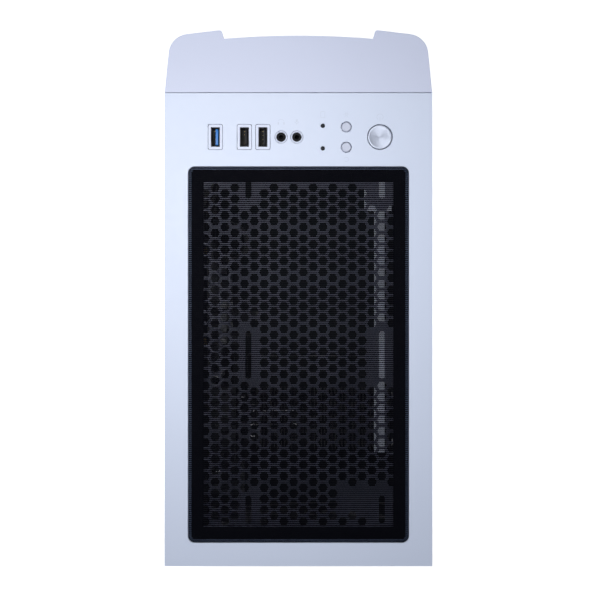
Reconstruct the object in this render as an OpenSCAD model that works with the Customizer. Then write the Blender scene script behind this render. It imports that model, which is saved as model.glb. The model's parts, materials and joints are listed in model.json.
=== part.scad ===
// Desktop computer tower. Millimetres, +Z up, front towards -Y, origin on the floor under its centre.

/* [Case] */
// Overall width of the case
case_w = 210; // [208:1:216]
// Overall depth of the case, front bezel included
case_d = 421; // [421:1:430]
// Overall height of the case, feet included
case_h = 455; // [455:1:465]
// Thickness of the steel sheets
sheet = 1; // [0.8:0.1:1]
// Height of the feet with their pads
foot_h = 16; // [16:1:18]

/* [Front bezel] */
// Depth of the bezel in front of the chassis
bezel_d = 50; // [48:1:52]
// Radius of the bezel's two outer corners
corner_r = 16; // [10:1:20]
// Inward taper of the bezel's sides, in degrees
side_taper = 5.3; // [3:0.1:6]
// Slope of each horn's front edge, in degrees
horn_slope = 6.9; // [3:0.1:8]
// Drop of the bezel's top from the seam to its front
bezel_drop = 5; // [2:0.5:6]

/* [Perforation] */
// Distance between hexagonal holes
hex_pitch = 8.9; // [8.5:0.1:10]
// Width across flats of a hexagonal hole
hex_flat = 6.5; // [5:0.1:7]

/* [Top filter] */
// Margin of the top cover around the filter
filter_margin = 18.6; // [16:0.2:22]
// Length of the filter, front to back
filter_l = 294.6; // [280:0.2:300]
// Width of the magnetic band round the filter
filter_band = 12; // [8:0.5:14]

/* [Front panel controls] */
// Diameter of the power button
power_d = 19.2; // [16:0.1:20]
// Diameter of the two small buttons
small_d = 7.6; // [6:0.1:8]
// Travel of each button
button_travel = 1.5; // [1:0.1:1.5]

/* [Fans] */
// Side of the square case fans
fan_size = 120; // [118:1:120]
// Number of blades on a fan
fan_blades = 7; // [5:1:9]

/* [Hidden] */
$fn = 48;

// Colours
white = [0.86, 0.89, 0.94];
black = [0.08, 0.08, 0.1];
steel = [0.62, 0.63, 0.65];
dark_steel = [0.16, 0.16, 0.18];
nickel = [0.3, 0.3, 0.32];
board_black = [0.06, 0.07, 0.08];

// Main planes of the case
x_side = case_w / 2;
y_front = -case_d / 2;
y_seam = y_front + bezel_d;
y_edge = case_d / 2;
y_rear = y_edge - 8.5;
z_base = foot_h;
z_top = case_h;

// Plastic top cover
cover_t = 3;
cover_wall = 2.5;
z_skirt = z_top - 14;
filter_w = case_w - 2 * filter_margin;
filter_y = y_edge - filter_margin - filter_l / 2;
filter_r = 5;
filter_gap = 0.4;

// Steel chassis, inside the side panels and the cover
x_steel = x_side - 4;
y_steel = y_seam + cover_wall + 0.2;
z_steel = z_top - cover_t - 0.2;
y_in = y_steel + sheet;
y_out = y_rear - sheet;
z_floor = z_base + sheet;
z_ceiling = z_steel - sheet;
joint_gap = 0.2;

// Side panels
panel_z0 = z_base + 1.5;
panel_z1 = z_skirt - 1;
panel_flange_y = y_rear + 0.3;
panel_flange_x = 14.6;
thumb_x = x_side - 9;
thumb_z = [110, 390];
window_y = [-132, 188];
window_z = [124, 420];

// Controls on the top cover: distance from the centre line towards +X, and place along Y
io_y = -126;
usb3_x = 65.2;
usb2_x = [42.4, 27.9];
jack_x = [13.6, 1.3];
led_x = -19.1;
led_y = [-134.8, -117.1];
small_x = -37.5;
small_y = [-133.9, -118];
power_x = -63.9;
usb_frame = [11.1, 19.6];
usb_shell = [6.7, 15];
jack_ring_d = 9.5;
jack_hole_d = 7.5;
jack_bore_r = 1.8;
led_d = 3.4;
button_gap = 0.5;
frame_gap = 0.3;
z_board = z_top - 18;
board_t = 1.6;

// Fan slots of the top frame, for 120 mm fans in a row
slot_w = 4.6;
slot_x = [39.4, -65.6];
slot_y = [[-89, 22], [45, 37.5], [166.5, 22]];

// Motherboard, standing on the tray and facing -X
tray_x = 79;
pcb_x = 71;
pcb_t = 1.6;
pcb_y = [-44.5, y_out - 1.5];
pcb_z = [127, 432];
cpu_y = 98;
cpu_z = 353;
slot_pitch = 20.32;
slot_z0 = 258;
slot_count = 7;
aperture_x = [28.8, 73.2];
aperture_z = [270, 428.8];

// Power supply
psu_x = [-82, 68];
psu_y = [y_out - 140, y_out - 0.2];
psu_z = [22, 108];
psu_fan_r = 58;
psu_cx = (psu_x[0] + psu_x[1]) / 2;
psu_cy = (psu_y[0] + psu_y[1]) / 2;
shroud_z = 112;
shroud_x = -93;

// Fans
fan_t = 25;
fan_hole = 105 / 2;
fan_r = fan_size / 2 - 2.5;
hub_r = 20;
rear_fan = [-34, y_out - fan_t, 368];
front_fan_z = [368, 243];
cpu_fan_y = cpu_y - 26 - fan_t;
fins_x = [34, -70];

// Routes of the cables
main_route = [
  [44, psu_y[0] - 0.2, 70], [44, 50, 70], [56, 36, 72], [78, 22, 78], [90, 4, 92], [91, -10, 120],
  [91, -30, 200], [91, -56, 290], [87, -64, 318], [76, -65, 322], [62, -64, 322],
  [49, -58, 322], [45, -46, 322], [49, -38, 322], [55.8, -36.5, 322]
];
cpu_route = [
  [38, psu_y[0] - 0.2, 60], [38, 52, 60], [56, 44, 62], [82, 40, 72], [92, 46, 104], [93, 86, 200],
  [93, 130, 340], [92, 150, 420], [88, 152, 436], [78, 152, 440], [60, 151, 440],
  [49, 150, 436], [46, 150, 429], [49, 150, 424.5], [55.8, 150, 424]
];
io_route = [
  [66, -140, z_board - 0.2], [66, -140, 431], [71, -137, 424], [84, -130, 416], [92, -120, 380],
  [92, -100, 240], [91, -66, 140], [84, -34, 122], [75, -22, 121], [66, -20, 123], [64.5, -20, 128.8]
];

function arc(c, r, a0, a1, n = 10) =
  [for (i = [0:n]) c + r * [cos(a0 + (a1 - a0) * i / n), sin(a0 + (a1 - a0) * i / n)]];

function mirrored(points) = [for (i = [len(points) - 1:-1:0]) [-points[i][0], points[i][1]]];

// Points of a rectangle with rounded corners, centred
function rounded(w, d, r) = concat(
  arc([w / 2 - r, d / 2 - r], r, 0, 90), arc([r - w / 2, d / 2 - r], r, 90, 180),
  arc([r - w / 2, r - d / 2], r, 180, 270), arc([w / 2 - r, r - d / 2], r, 270, 360));

// Box between two corners
module block(lo, hi) {
  translate(lo) cube(hi - lo);
}

// Cylinders along X and Y from a start point
module rod_x(p, r, l) {
  translate(p) rotate([0, 90, 0]) cylinder(r = r, h = l);
}

module rod_y(p, r, l) {
  translate(p) rotate([-90, 0, 0]) cylinder(r = r, h = l);
}

// Plate drawn in X and Z, from y to y + t
module plate_xz(y, t) {
  translate([0, y + t, 0]) rotate([90, 0, 0]) linear_extrude(t) children();
}

// Plate drawn in Y and Z, from x to x + t
module plate_yz(x, t) {
  translate([x, 0, 0]) rotate([90, 0, 90]) linear_extrude(t) children();
}

// Straight slot with round ends, drawn flat along Y
module slot(w, l) {
  square([w, l - w], center = true);
  for (s = [-1, 1])
    translate([0, s * (l - w) / 2]) circle(d = w);
}

// ---------- Top of the case ----------

module usb_frame_shape(gap) {
  polygon(rounded(usb_frame[0] + 2 * gap, usb_frame[1] + 2 * gap, 1.4));
}

module control_holes() {
  for (x = concat([usb3_x], usb2_x))
    translate([x, io_y]) usb_frame_shape(frame_gap);
  for (x = jack_x)
    translate([x, io_y]) circle(d = jack_ring_d + 2 * frame_gap);
  for (y = led_y)
    translate([led_x, y]) circle(d = led_d + 0.1);
  for (y = small_y)
    translate([small_x, y]) circle(d = small_d + 2 * button_gap);
  translate([power_x, io_y]) circle(d = power_d + 2 * button_gap);
}

module top_cover() {
  inner_x = x_side - cover_wall;
  color(white) difference() {
    block([-x_side, y_seam, z_skirt], [x_side, y_edge, z_top]);
    block([-inner_x, y_seam + cover_wall, z_skirt - 1], [inner_x, y_edge - cover_wall, z_top - cover_t]);
    translate([0, filter_y, z_top - cover_t - 1]) linear_extrude(cover_t + 2)
      polygon(rounded(filter_w + 2 * filter_gap, filter_l + 2 * filter_gap, filter_r + filter_gap));
    translate([0, 0, z_top - cover_t - 1]) linear_extrude(cover_t + 2) control_holes();
  }
}

// A hole of the top grid is left out beside a fan slot and in one solid patch at the back
function beside_slot(p) =
  len([for (x = slot_x, s = slot_y)
    if (abs(p[0] - x) < 8.5 && abs(p[1] - s[0]) < s[1] / 2 + 5) 1]) > 0;
function in_patch(p) = p[0] < -32 && abs(p[1] - 158) < 9;

module hex_hole() {
  circle(d = hex_flat / cos(30), $fn = 6);
}

module top_perforation() {
  step = hex_pitch * cos(30);
  columns = 20;
  rows = 31;
  limit = filter_l / 2 - filter_band - 2;
  for (i = [0:columns - 1], j = [0:rows - 1]) {
    p = [
      (i - (columns - 1) / 2) * step,
      filter_y + (j - (rows - 1) / 2 + (i % 2 == 0 ? 0.25 : -0.25)) * hex_pitch
    ];
    if (!beside_slot(p) && !in_patch(p) && abs(p[1] - filter_y) < limit)
      translate(p) hex_hole();
  }
}

module top_frame() {
  io_cut = [88, -152, -108];
  color(dark_steel) {
    translate([0, 0, z_ceiling]) linear_extrude(sheet) difference() {
      translate([-x_steel, y_in + joint_gap]) square([2 * x_steel, y_out - y_in - 2 * joint_gap]);
      translate([-io_cut[0], io_cut[1]]) square([2 * io_cut[0], io_cut[2] - io_cut[1]]);
      top_perforation();
      for (x = slot_x, s = slot_y)
        translate([x, s[0]]) slot(slot_w, s[1]);
    }
    for (x = [-x_steel, x_steel - sheet])
      block([x, y_in + 12, z_skirt - 3], [x + sheet, y_out - 12, z_ceiling]);
  }
}

// Diffused light strip under the top, beside the window
module light_strip() {
  strip_x = [-67.6, -59.6];
  strip_y = [-95, 122];
  color("white") union() {
    block([strip_x[0], strip_y[0], z_ceiling - 3.2], [strip_x[1], strip_y[1], z_ceiling - joint_gap]);
    block([-73, -91, z_ceiling - 5], [-52, -68, z_ceiling - joint_gap]);
  }
}

z_filter = z_steel + 0.3;

module filter_frame() {
  color(black) translate([0, filter_y, z_filter]) linear_extrude(1.2) difference() {
    polygon(rounded(filter_w, filter_l, filter_r));
    square([filter_w - 2 * filter_band, filter_l - 2 * filter_band], center = true);
  }
}

module filter_mesh() {
  color(black) translate([0, filter_y, z_filter + 1.2]) linear_extrude(0.4)
    polygon(rounded(filter_w, filter_l, filter_r));
}

// White surrounds of the ports, standing up through the top cover
module port_frames() {
  z0 = z_board + board_t + 6;
  h = z_top - 0.1 - z0;
  color(white) translate([0, 0, z0]) linear_extrude(h) {
    for (x = concat([usb3_x], usb2_x))
      translate([x, io_y]) difference() {
        usb_frame_shape(0);
        square(usb_shell + [0.4, 0.4], center = true);
      }
    for (x = jack_x)
      translate([x, io_y]) difference() {
        circle(d = jack_ring_d);
        circle(d = jack_hole_d);
      }
  }
}

module io_board() {
  color([0.1, 0.3, 0.2]) {
    block([-78, -148, z_board], [78, -110, z_board + board_t]);
    for (p = [[power_x, io_y], [small_x, small_y[0]], [small_x, small_y[1]]])
      translate([p[0], p[1], z_board + board_t]) {
        translate([-3, -3, 0]) cube([6, 6, 3.4]);
        translate([0, 0, 3.4]) cylinder(r = 1.6, h = 0.9);
      }
  }
}

// Upright socket: a thin steel shell with the contact tongue towards -X
module usb_socket(x) {
  wall = 0.4;
  h = z_top - 0.8 - z_board - board_t;
  translate([x, io_y, z_board + board_t]) {
    difference() {
      linear_extrude(h) square(usb_shell, center = true);
      translate([0, 0, 2]) linear_extrude(h) square(usb_shell - 2 * [wall, wall], center = true);
    }
    translate([-2.05, -5.9, 2]) cube([1.9, 11.8, h - 3.4]);
  }
}

module usb3_port() {
  color("steelblue") usb_socket(usb3_x);
}

module usb2_ports() {
  color(black)
    for (x = usb2_x)
      usb_socket(x);
}

module audio_jacks() {
  color(black)
    for (x = jack_x)
      translate([x, io_y, z_board + board_t]) difference() {
        union() {
          translate([-5, -6, 0]) cube([10, 12, 5.6]);
          cylinder(d = jack_hole_d - 0.4, h = 14);
        }
        translate([0, 0, 1]) cylinder(r = jack_bore_r, h = 20);
      }
}

module led_lenses() {
  color([0.05, 0.06, 0.1])
    for (y = led_y)
      translate([led_x, y, z_board + board_t]) {
        cylinder(d = 5, h = 5);
        cylinder(d = led_d - 0.1, h = z_top - 0.3 - z_board - board_t);
      }
}

// Cap with a retaining flange under the cover and a stem down to its switch
module button(p, d, proud) {
  z_flange = z_top - cover_t - 1.4;
  z_switch = z_board + board_t + 4.3;
  translate([p[0], p[1], 0]) {
    translate([0, 0, z_flange]) cylinder(d = d, h = z_top + proud - z_flange);
    translate([0, 0, z_flange]) cylinder(d = d + 2.4, h = 1.2);
    translate([0, 0, z_switch + button_travel + 0.1])
      cylinder(d = 3, h = z_flange - z_switch - button_travel);
  }
}

module power_button() {
  color([0.78, 0.81, 0.87]) button([power_x, io_y], power_d, 0);
}

module reset_button() {
  color(white) button([small_x, small_y[1]], small_d, 0);
}

module light_button() {
  color(white) button([small_x, small_y[0]], small_d, 0);
}

// ---------- Front ----------

// Centre of the outer corner's arc: corner_r inside both the side line and the horn's front line
n_side = [cos(side_taper), sin(side_taper)];
n_horn = [sin(horn_slope), cos(horn_slope)];
horn_x = 62.2;
horn_root = 59.1;
brow_r = 707;
brow_d = bezel_d - 4.4;
seam_gap = 0.5;
function corner_centre() =
  let (
    a = n_side * [x_side, 0] - corner_r,
    b = n_horn * [horn_x, bezel_d] - corner_r,
    det = n_side[0] * n_horn[1] - n_side[1] * n_horn[0]
  )
  [(a * n_horn[1] - b * n_side[1]) / det, (b * n_side[0] - a * n_horn[0]) / det];

// Height of the slightly convex middle of the front at x
function brow(x) = brow_d - brow_r + sqrt(brow_r * brow_r - x * x);

// Outline of the bezel from above, x and distance in front of the seam
function bezel_half() = concat(
  [[x_side - seam_gap * tan(side_taper), seam_gap]],
  arc(corner_centre(), corner_r, side_taper, 90 - horn_slope, 14),
  arc([horn_x, bezel_d - 2.4], 2.4, 90 - horn_slope, 178, 6),
  [[horn_root, brow(horn_root)]],
  [for (i = [1:6]) let (x = horn_root * (1 - i / 6)) [x, brow(x)]]);

module bezel_shape() {
  half = bezel_half();
  polygon(concat(half, mirrored(half)));
}

// The hollow inside: wall thick all round, and straight across behind the horns
module bezel_cavity(wall) {
  c = corner_centre();
  half = concat(
    [[x_side - wall, -1]],
    arc(c, corner_r - wall, side_taper, 90 - horn_slope, 10),
    [
      [horn_x + 4, bezel_d - wall - 1.5],
      [horn_root + 4, brow(horn_root) - wall],
      [0, brow(horn_root) - wall]
    ]);
  polygon(concat(half, mirrored(half)));
}

bezel_z0 = 10;
opening_x = 54;
opening_z = [44, 424];
clip_x = 72;
clip_z = [40, 235, 425];

// Draws children, given as x and distance in front of the seam, between two heights
module ahead(z0, z1) {
  translate([0, y_seam, z0]) mirror([0, 1, 0]) linear_extrude(z1 - z0) children();
}

// Stem and bracket of one push-in clip, on side s at height z
module bezel_clip(s, z) {
  rod_y([s * clip_x, y_seam - 12, z], 3, 16.4);
  block([s * (clip_x + 12.5) - 18.5, y_seam - 12, z - 5], [s * (clip_x + 12.5) + 18.5, y_seam - 4, z + 5]);
}

module front_bezel() {
  slope = atan(bezel_drop / bezel_d);
  color(white) union() {
    difference() {
      ahead(bezel_z0, z_top) bezel_shape();
      ahead(bezel_z0 + 4, z_top - bezel_drop - 5) bezel_cavity(3);
      block([-opening_x, y_front - 1, opening_z[0]], [opening_x, y_seam - 30, opening_z[1]]);
      translate([0, y_seam, z_top]) rotate([slope, 0, 0])
        translate([-case_w, -case_d, 0]) cube([2 * case_w, case_d, 40]);
    }
    for (s = [-1, 1], z = clip_z)
      bezel_clip(s, z);
  }
}

module front_mesh() {
  pitch = 12;
  flat = 9.4;
  step = pitch * cos(30);
  mesh_x = opening_x + 2.5;
  mesh_z = [opening_z[0] - 2.5, opening_z[1] + 2.5];
  mid_z = (mesh_z[0] + mesh_z[1]) / 2;
  color(black) plate_xz(y_seam - brow(horn_root) + 3.3, 1) difference() {
    translate([-mesh_x, mesh_z[0]]) square([2 * mesh_x, mesh_z[1] - mesh_z[0]]);
    for (i = [-4:4], j = [-15:15])
      translate([i * step, mid_z + (j + (i % 2 == 0 ? 0 : 0.5)) * pitch])
        if (abs((j + (i % 2 == 0 ? 0 : 0.5)) * pitch) < 184)
          circle(d = flat / cos(30), $fn = 6);
  }
}

module front_frame() {
  color(dark_steel) {
    plate_xz(y_steel, sheet) difference() {
      translate([-x_steel, z_floor + joint_gap]) square([2 * x_steel, z_ceiling - z_floor - 2 * joint_gap]);
      for (z = front_fan_z)
        translate([0, z]) {
          circle(r = fan_r);
          for (sx = [-1, 1], sz = [-1, 1])
            translate([sx * fan_hole, sz * fan_hole]) circle(r = 2.3);
        }
      for (s = [-1, 1], z = clip_z)
        translate([s * clip_x, z]) circle(r = 3.4);
      for (j = [0:7])
        translate([0, 40 + j * 15]) square([120, 6], center = true);
    }
    for (x = [-x_steel, x_steel - sheet])
      block([x, y_in, z_floor + 12], [x + sheet, y_in + 10, z_skirt - 6]);
  }
}

// ---------- Base ----------

rail_x = [-67, 53];
rail_z = 8.4;

module base_pan() {
  color(dark_steel) union() {
    translate([0, 0, z_base]) linear_extrude(sheet) difference() {
      translate([-x_steel, y_steel]) square([2 * x_steel, y_rear - y_steel]);
      for (i = [-6:6])
        translate([psu_cx + i * 8.6, psu_cy]) slot(5, 110 - abs(i) * 6);
      for (i = [-3:3])
        translate([i * 20, -80]) slot(5, 60);
    }
    for (x = [-x_steel, x_steel - sheet])
      block([x, y_in + 12, z_floor], [x + sheet, y_out - 12, z_floor + 10]);
    for (e = [[rail_x[0], 1], [rail_x[1], -1]]) {
      block([min(e[0], e[0] - e[1]), 40, rail_z], [max(e[0], e[0] - e[1]), 199, z_base]);
      block([min(e[0], e[0] + 3 * e[1]), 40, rail_z], [max(e[0], e[0] + 3 * e[1]), 199, rail_z + 1]);
    }
  }
}

foot_at = [for (x = [-85, 85], y = [-128, 160]) [x, y]];

module feet() {
  color([0.2, 0.2, 0.22])
    for (p = foot_at)
      translate([p[0], p[1], 2]) difference() {
        cylinder(r1 = 13, r2 = 15, h = z_base - 2);
        translate([0, 0, -1]) cylinder(r = 10.2, h = 2);
      }
}

module foot_pads() {
  color([0.12, 0.12, 0.12])
    for (p = foot_at)
      translate([p[0], p[1], 0]) cylinder(r = 10, h = 2.9);
}

module psu_filter() {
  z = rail_z + 1.3;
  x = [rail_x[0] + 0.4, rail_x[1] - 0.4];
  color(black) union() {
    difference() {
      block([x[0], 44, z], [x[1], 200, z + 3]);
      block([x[0] + 8, 52, z - 1], [x[1] - 8, 190, z + 5]);
    }
    block([x[0] + 7, 51, z + 1], [x[1] - 7, 191, z + 1.6]);
    block([-25, 199, z], [11, 209, z + 1.5]);
  }
}

// ---------- Chassis ----------

function slot_centre(i) = slot_z0 - i * slot_pitch;
bracket_end = -40;

module rear_frame() {
  vent_r = 55;
  color(dark_steel) union() {
    plate_xz(y_out, sheet) difference() {
      translate([-x_steel, z_floor + joint_gap]) square([2 * x_steel, z_ceiling - z_floor - 2 * joint_gap]);
      translate([aperture_x[0], aperture_z[0]])
        square([aperture_x[1] - aperture_x[0], aperture_z[1] - aperture_z[0]]);
      for (i = [0:slot_count - 1])
        translate([bracket_end + 6, slot_centre(i) - 6.5]) square([106, 13]);
      translate([psu_x[0] + 5, psu_z[0] + 5])
        square([psu_x[1] - psu_x[0] - 10, psu_z[1] - psu_z[0] - 10]);
      for (i = [-7:7], j = [-7:7]) {
        p = [i * hex_pitch * cos(30), (j + (i % 2 == 0 ? 0 : 0.5)) * hex_pitch];
        if (norm(p) < vent_r - hex_flat / 2)
          translate([rear_fan[0], rear_fan[2]] + p) hex_hole();
      }
      for (p = fan_screw_at)
        translate(p) circle(r = 1.7);
      for (p = psu_screw_at)
        translate(p) circle(r = 1.9);
      for (s = [-1, 1], z = thumb_z)
        translate([s * thumb_x, z]) circle(r = 1.9);
    }
    difference() {
      block([bracket_end + 0.3, y_out - 12, 124], [bracket_end + 1.3, y_out, 270]);
      for (i = [0:slot_count - 1]) {
        z = slot_centre(i);
        block([bracket_end, y_out - 1.3, z - 9.6], [bracket_end + 2, y_out + 0.1, z + 9.6]);
        rod_x([bracket_end - 1, y_out - 6, z], 1.7, 4);
      }
    }
  }
}

fan_screw_at = [for (sx = [-1, 1], sz = [-1, 1]) [rear_fan[0] + sx * fan_hole, rear_fan[2] + sz * fan_hole]];
psu_screw_at = [[-76, 102], [62, 102], [-76, 28], [38, 28]];

module motherboard_tray() {
  color(dark_steel) plate_yz(tray_x, sheet) difference() {
    translate([-112, shroud_z + sheet + joint_gap])
      square([y_out - joint_gap + 112, z_ceiling - shroud_z - sheet - 2 * joint_gap]);
    translate([50, 292]) square([104, 106]);
    for (z = [150, 230, 322])
      translate([-64, z]) slot(18, 60);
    translate([150, 440]) rotate(90) slot(9, 40);
    translate([-20, 121]) rotate(90) slot(9, 50);
  }
}

module psu_shroud() {
  y0 = -112;
  color(dark_steel) union() {
    translate([0, 0, shroud_z]) linear_extrude(sheet) difference() {
      translate([shroud_x, y0]) square([tray_x + sheet - shroud_x, y_out - joint_gap - y0]);
      for (i = [0:8])
        translate([-70 + i * 14, 130]) slot(5, 90);
    }
    block([shroud_x, y0, z_floor + joint_gap], [shroud_x + sheet, y_out - joint_gap, shroud_z + sheet]);
  }
}

// Block from a side face inwards by depth, between two [y, z] corners
module side_block(s, depth, low, high) {
  x = [s * x_side, s * (x_side - depth)];
  block([min(x), low[0], low[1]], [max(x), high[0], high[1]]);
}

module side_skin(s, opening) {
  y0 = y_seam + 0.2;
  y1 = panel_flange_y;
  difference() {
    union() {
      side_block(s, sheet, [y0, panel_z0], [y_edge, panel_z1]);
      for (z = [panel_z0, panel_z1 - sheet])
        side_block(s, 3.6, [y0, z], [y_rear, z + sheet]);
      side_block(s, 3.6, [y0, panel_z0], [y0 + sheet, panel_z1]);
      side_block(s, panel_flange_x, [y1, panel_z0 + 12], [y1 + sheet, panel_z1 - 12]);
    }
    for (z = thumb_z)
      rod_y([s * thumb_x, y_rear, z], 1.9, 5);
    if (opening)
      block([-x_side - 1, window_y[0], window_z[0]], [-x_side + 2, window_y[1], window_z[1]]);
  }
}

module left_panel() {
  color(white) side_skin(-1, true);
}

module right_panel() {
  color(white) side_skin(1, false);
}

module left_window() {
  x = -x_side + sheet;
  color([0.2, 0.22, 0.25, 0.4])
    block([x, window_y[0] - 8, window_z[0] - 8], [x + 2.5, window_y[1] + 8, window_z[1] + 8]);
}

module thumbscrew(x, z) {
  y = panel_flange_y + sheet;
  grip = 6;
  rod_y([x, y - 10, z], 1.7, 11);
  difference() {
    rod_y([x, y, z], 5.2, grip);
    for (a = [0:30:330])
      translate([x, y, z]) rotate([0, a, 0]) rod_y([5.5, 1.5, 0], 0.7, grip);
    block([x - 3.5, y + grip - 1.2, z - 0.6], [x + 3.5, y + grip + 1, z + 0.6]);
  }
}

module left_thumbscrews() {
  color(black)
    for (z = thumb_z)
      thumbscrew(-thumb_x, z);
}

module right_thumbscrews() {
  color(black)
    for (z = thumb_z)
      thumbscrew(thumb_x, z);
}

// ---------- Motherboard ----------

board_hole_at = [for (y = [-37, 35, 189], z = [134, 276, 425]) [y, z]];

module motherboard() {
  color(board_black) plate_yz(pcb_x, pcb_t) difference() {
    translate([pcb_y[0], pcb_z[0]]) square([pcb_y[1] - pcb_y[0], pcb_z[1] - pcb_z[0]]);
    for (p = board_hole_at)
      translate(p) circle(r = 2);
  }
}

module standoffs() {
  x0 = pcb_x + pcb_t;
  color([0.75, 0.6, 0.3])
    for (p = board_hole_at)
      translate([x0, p[0], p[1]]) rotate([0, 90, 0]) cylinder(r = 3.4, h = tray_x - x0, $fn = 6);
}

// Socket frame and, as a separate solid, the processor lying in it
module cpu_socket() {
  color(steel) {
    difference() {
      block([pcb_x - 7, cpu_y - 27, cpu_z - 27], [pcb_x, cpu_y + 27, cpu_z + 27]);
      block([pcb_x - 8, cpu_y - 20, cpu_z - 20], [pcb_x - 1.5, cpu_y + 20, cpu_z + 20]);
    }
    block([pcb_x - 3, cpu_y - 19, cpu_z - 19], [pcb_x - 1.6, cpu_y + 19, cpu_z + 19]);
    block([pcb_x - 4.9, cpu_y - 16, cpu_z - 16], [pcb_x - 3, cpu_y + 16, cpu_z + 16]);
  }
}

ram_y = [34, 24.6, 15.2, 5.8];
ram_z = [275, 415];

module board_slots() {
  color([0.1, 0.1, 0.12]) {
    for (y = ram_y)
      difference() {
        block([pcb_x - 8, y - 3.4, ram_z[0]], [pcb_x, y + 3.4, ram_z[1]]);
        block([pcb_x - 9, y - 0.9, ram_z[0] + 4], [pcb_x - 3, y + 0.9, ram_z[1] - 4]);
      }
    for (s = [[1, 89], [3, 25], [4, 89], [6, 25]])
      difference() {
        z = slot_centre(s[0]);
        y = y_out - 58;
        block([pcb_x - 11, y - s[1], z - 3.8], [pcb_x, y, z + 3.8]);
        block([pcb_x - 12, y - s[1] + 2, z - 0.9], [pcb_x - 3, y - 2, z + 0.9]);
      }
  }
}

// Two memory modules with their heat spreaders, in the second and fourth slots
module ram_modules() {
  color([0.25, 0.26, 0.28])
    for (y = [ram_y[0], ram_y[2]])
      union() {
        block([pcb_x - 34, y - 0.7, ram_z[0] + 4.3], [pcb_x - 3.2, y + 0.7, ram_z[1] - 4.3]);
        block([pcb_x - 36, y - 3.2, ram_z[0] + 4.3], [pcb_x - 9, y + 3.2, ram_z[1] - 4.3]);
      }
}

// A finned block standing on the board
module finned(lo, hi, fins) {
  depth = hi[1] - lo[1];
  difference() {
    block(lo, hi);
    for (i = [1:fins])
      block([lo[0] - 1, lo[1] + depth * i / (fins + 1) - 0.8, lo[2] - 1],
        [hi[0] - 4, lo[1] + depth * i / (fins + 1) + 0.8, hi[2] + 1]);
  }
}

module board_heatsinks() {
  color([0.3, 0.31, 0.34]) {
    finned([pcb_x - 24, 140, 298], [pcb_x, 168, 408], 5);
    finned([pcb_x - 20, 72, 404], [pcb_x, 132, 422], 9);
    block([pcb_x - 9, -26, 150], [pcb_x, 22, 196]);
    block([pcb_x - 7, 50, 204], [pcb_x, 138, 228]);
  }
}

module board_connectors() {
  color([0.12, 0.12, 0.13]) {
    block([pcb_x - 10, -42, 296], [pcb_x, -31, 348]);
    block([pcb_x - 15, -41, 298], [pcb_x - 10.1, -32, 346]);
    block([pcb_x - 10, 140, 418.4], [pcb_x, 160, 430]);
    block([pcb_x - 15, 141, 419.4], [pcb_x - 10.1, 159, 429]);
    for (i = [0:2])
      block([pcb_x - 9, -43, 200 + i * 18], [pcb_x, -34, 215 + i * 18]);
    for (y = [-30, -5, 25, 60, 90])
      block([pcb_x - 8, y, 129], [pcb_x, y + 20, 134.6]);
  }
  color("silver") rod_x([pcb_x - 3.4, 40, 152], 10, 3.4);
}

// Rear ports, from top to bottom: centre height, size along Z and X, and number of sockets
port_list = [
  [417, 15, 22, 1], [398, 15, 30, 2], [379, 15, 30, 2], [357, 17, 14, 0], [336, 15, 30, 2], [317, 15, 30, 2]
];
port_y = [y_out - 22, y_out + 0.5];
port_x = pcb_x - 0.2;
audio_z = [300, 288, 276];
audio_x = 60;

// A socket is a recess with a thin contact tongue; the network port has a plain recess
module rear_io_ports() {
  color(steel)
    for (p = port_list) {
      n = max(p[3], 1);
      depth = 13;
      w = p[3] == 0 ? 8.4 : 5.6;
      h = p[3] == 0 ? 11.8 : 13;
      centres = [for (i = [0:n - 1]) port_x - p[2] * (i + 0.5) / n];
      difference() {
        block([port_x - p[2], port_y[0], p[0] - p[1] / 2], [port_x, port_y[1], p[0] + p[1] / 2]);
        for (x = centres)
          block([x - w / 2, port_y[1] - depth, p[0] - h / 2], [x + w / 2, port_y[1] + 1, p[0] + h / 2]);
      }
      if (p[3] > 0)
        for (x = centres)
          block([x - 0.2, port_y[1] - depth - 1, p[0] - 5.6], [x + 1.6, port_y[1] - 1, p[0] + 5.6]);
    }
}

module rear_audio_jacks() {
  color([0.2, 0.2, 0.22])
    for (z = audio_z)
      difference() {
        union() {
          block([audio_x - 6, port_y[0], z - 5.6], [audio_x + 8, y_out - 3, z + 5.6]);
          rod_y([audio_x, y_out - 3, z], 4, 2.8);
        }
        rod_y([audio_x, y_out - 16, z], jack_bore_r, 20);
      }
}

module io_shield() {
  gap = 0.3;
  color([0.2, 0.21, 0.23]) plate_xz(y_out - 0.2, sheet) difference() {
    translate([aperture_x[0] + gap, aperture_z[0] + gap])
      square([aperture_x[1] - aperture_x[0] - 2 * gap, aperture_z[1] - aperture_z[0] - 2 * gap]);
    for (p = port_list)
      translate([port_x - p[2] - gap, p[0] - p[1] / 2 - gap]) square([p[2] + 2 * gap, p[1] + 2 * gap]);
    for (z = audio_z)
      translate([audio_x, z]) circle(r = 4.3);
  }
}

module slot_covers() {
  color(dark_steel)
    for (i = [0:slot_count - 1]) {
      z = slot_centre(i);
      x0 = bracket_end - 0.8;
      y1 = y_out - joint_gap;
      difference() {
        union() {
          block([x0, y_out - 1.1, z - 9.2], [75, y1, z + 9.2]);
          block([x0, y_out - 12, z - 9.2], [bracket_end + 0.1, y1, z + 9.2]);
        }
        for (j = [0:8])
          translate([-24 + j * 11, y_out - 3, z - 4]) cube([6, 5, 8]);
        rod_x([bracket_end - 2, y_out - 6, z], 1.7, 4);
      }
    }
}

module screw_y(x, z, r, y, depth) {
  rod_y([x, y - depth, z], r, depth + 0.5);
  difference() {
    rod_y([x, y, z], 3.6, 2.2);
    block([x - 2.2, y + 1, z - 0.5], [x + 2.2, y + 3, z + 0.5]);
    block([x - 0.5, y + 1, z - 2.2], [x + 0.5, y + 3, z + 2.2]);
  }
}

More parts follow.
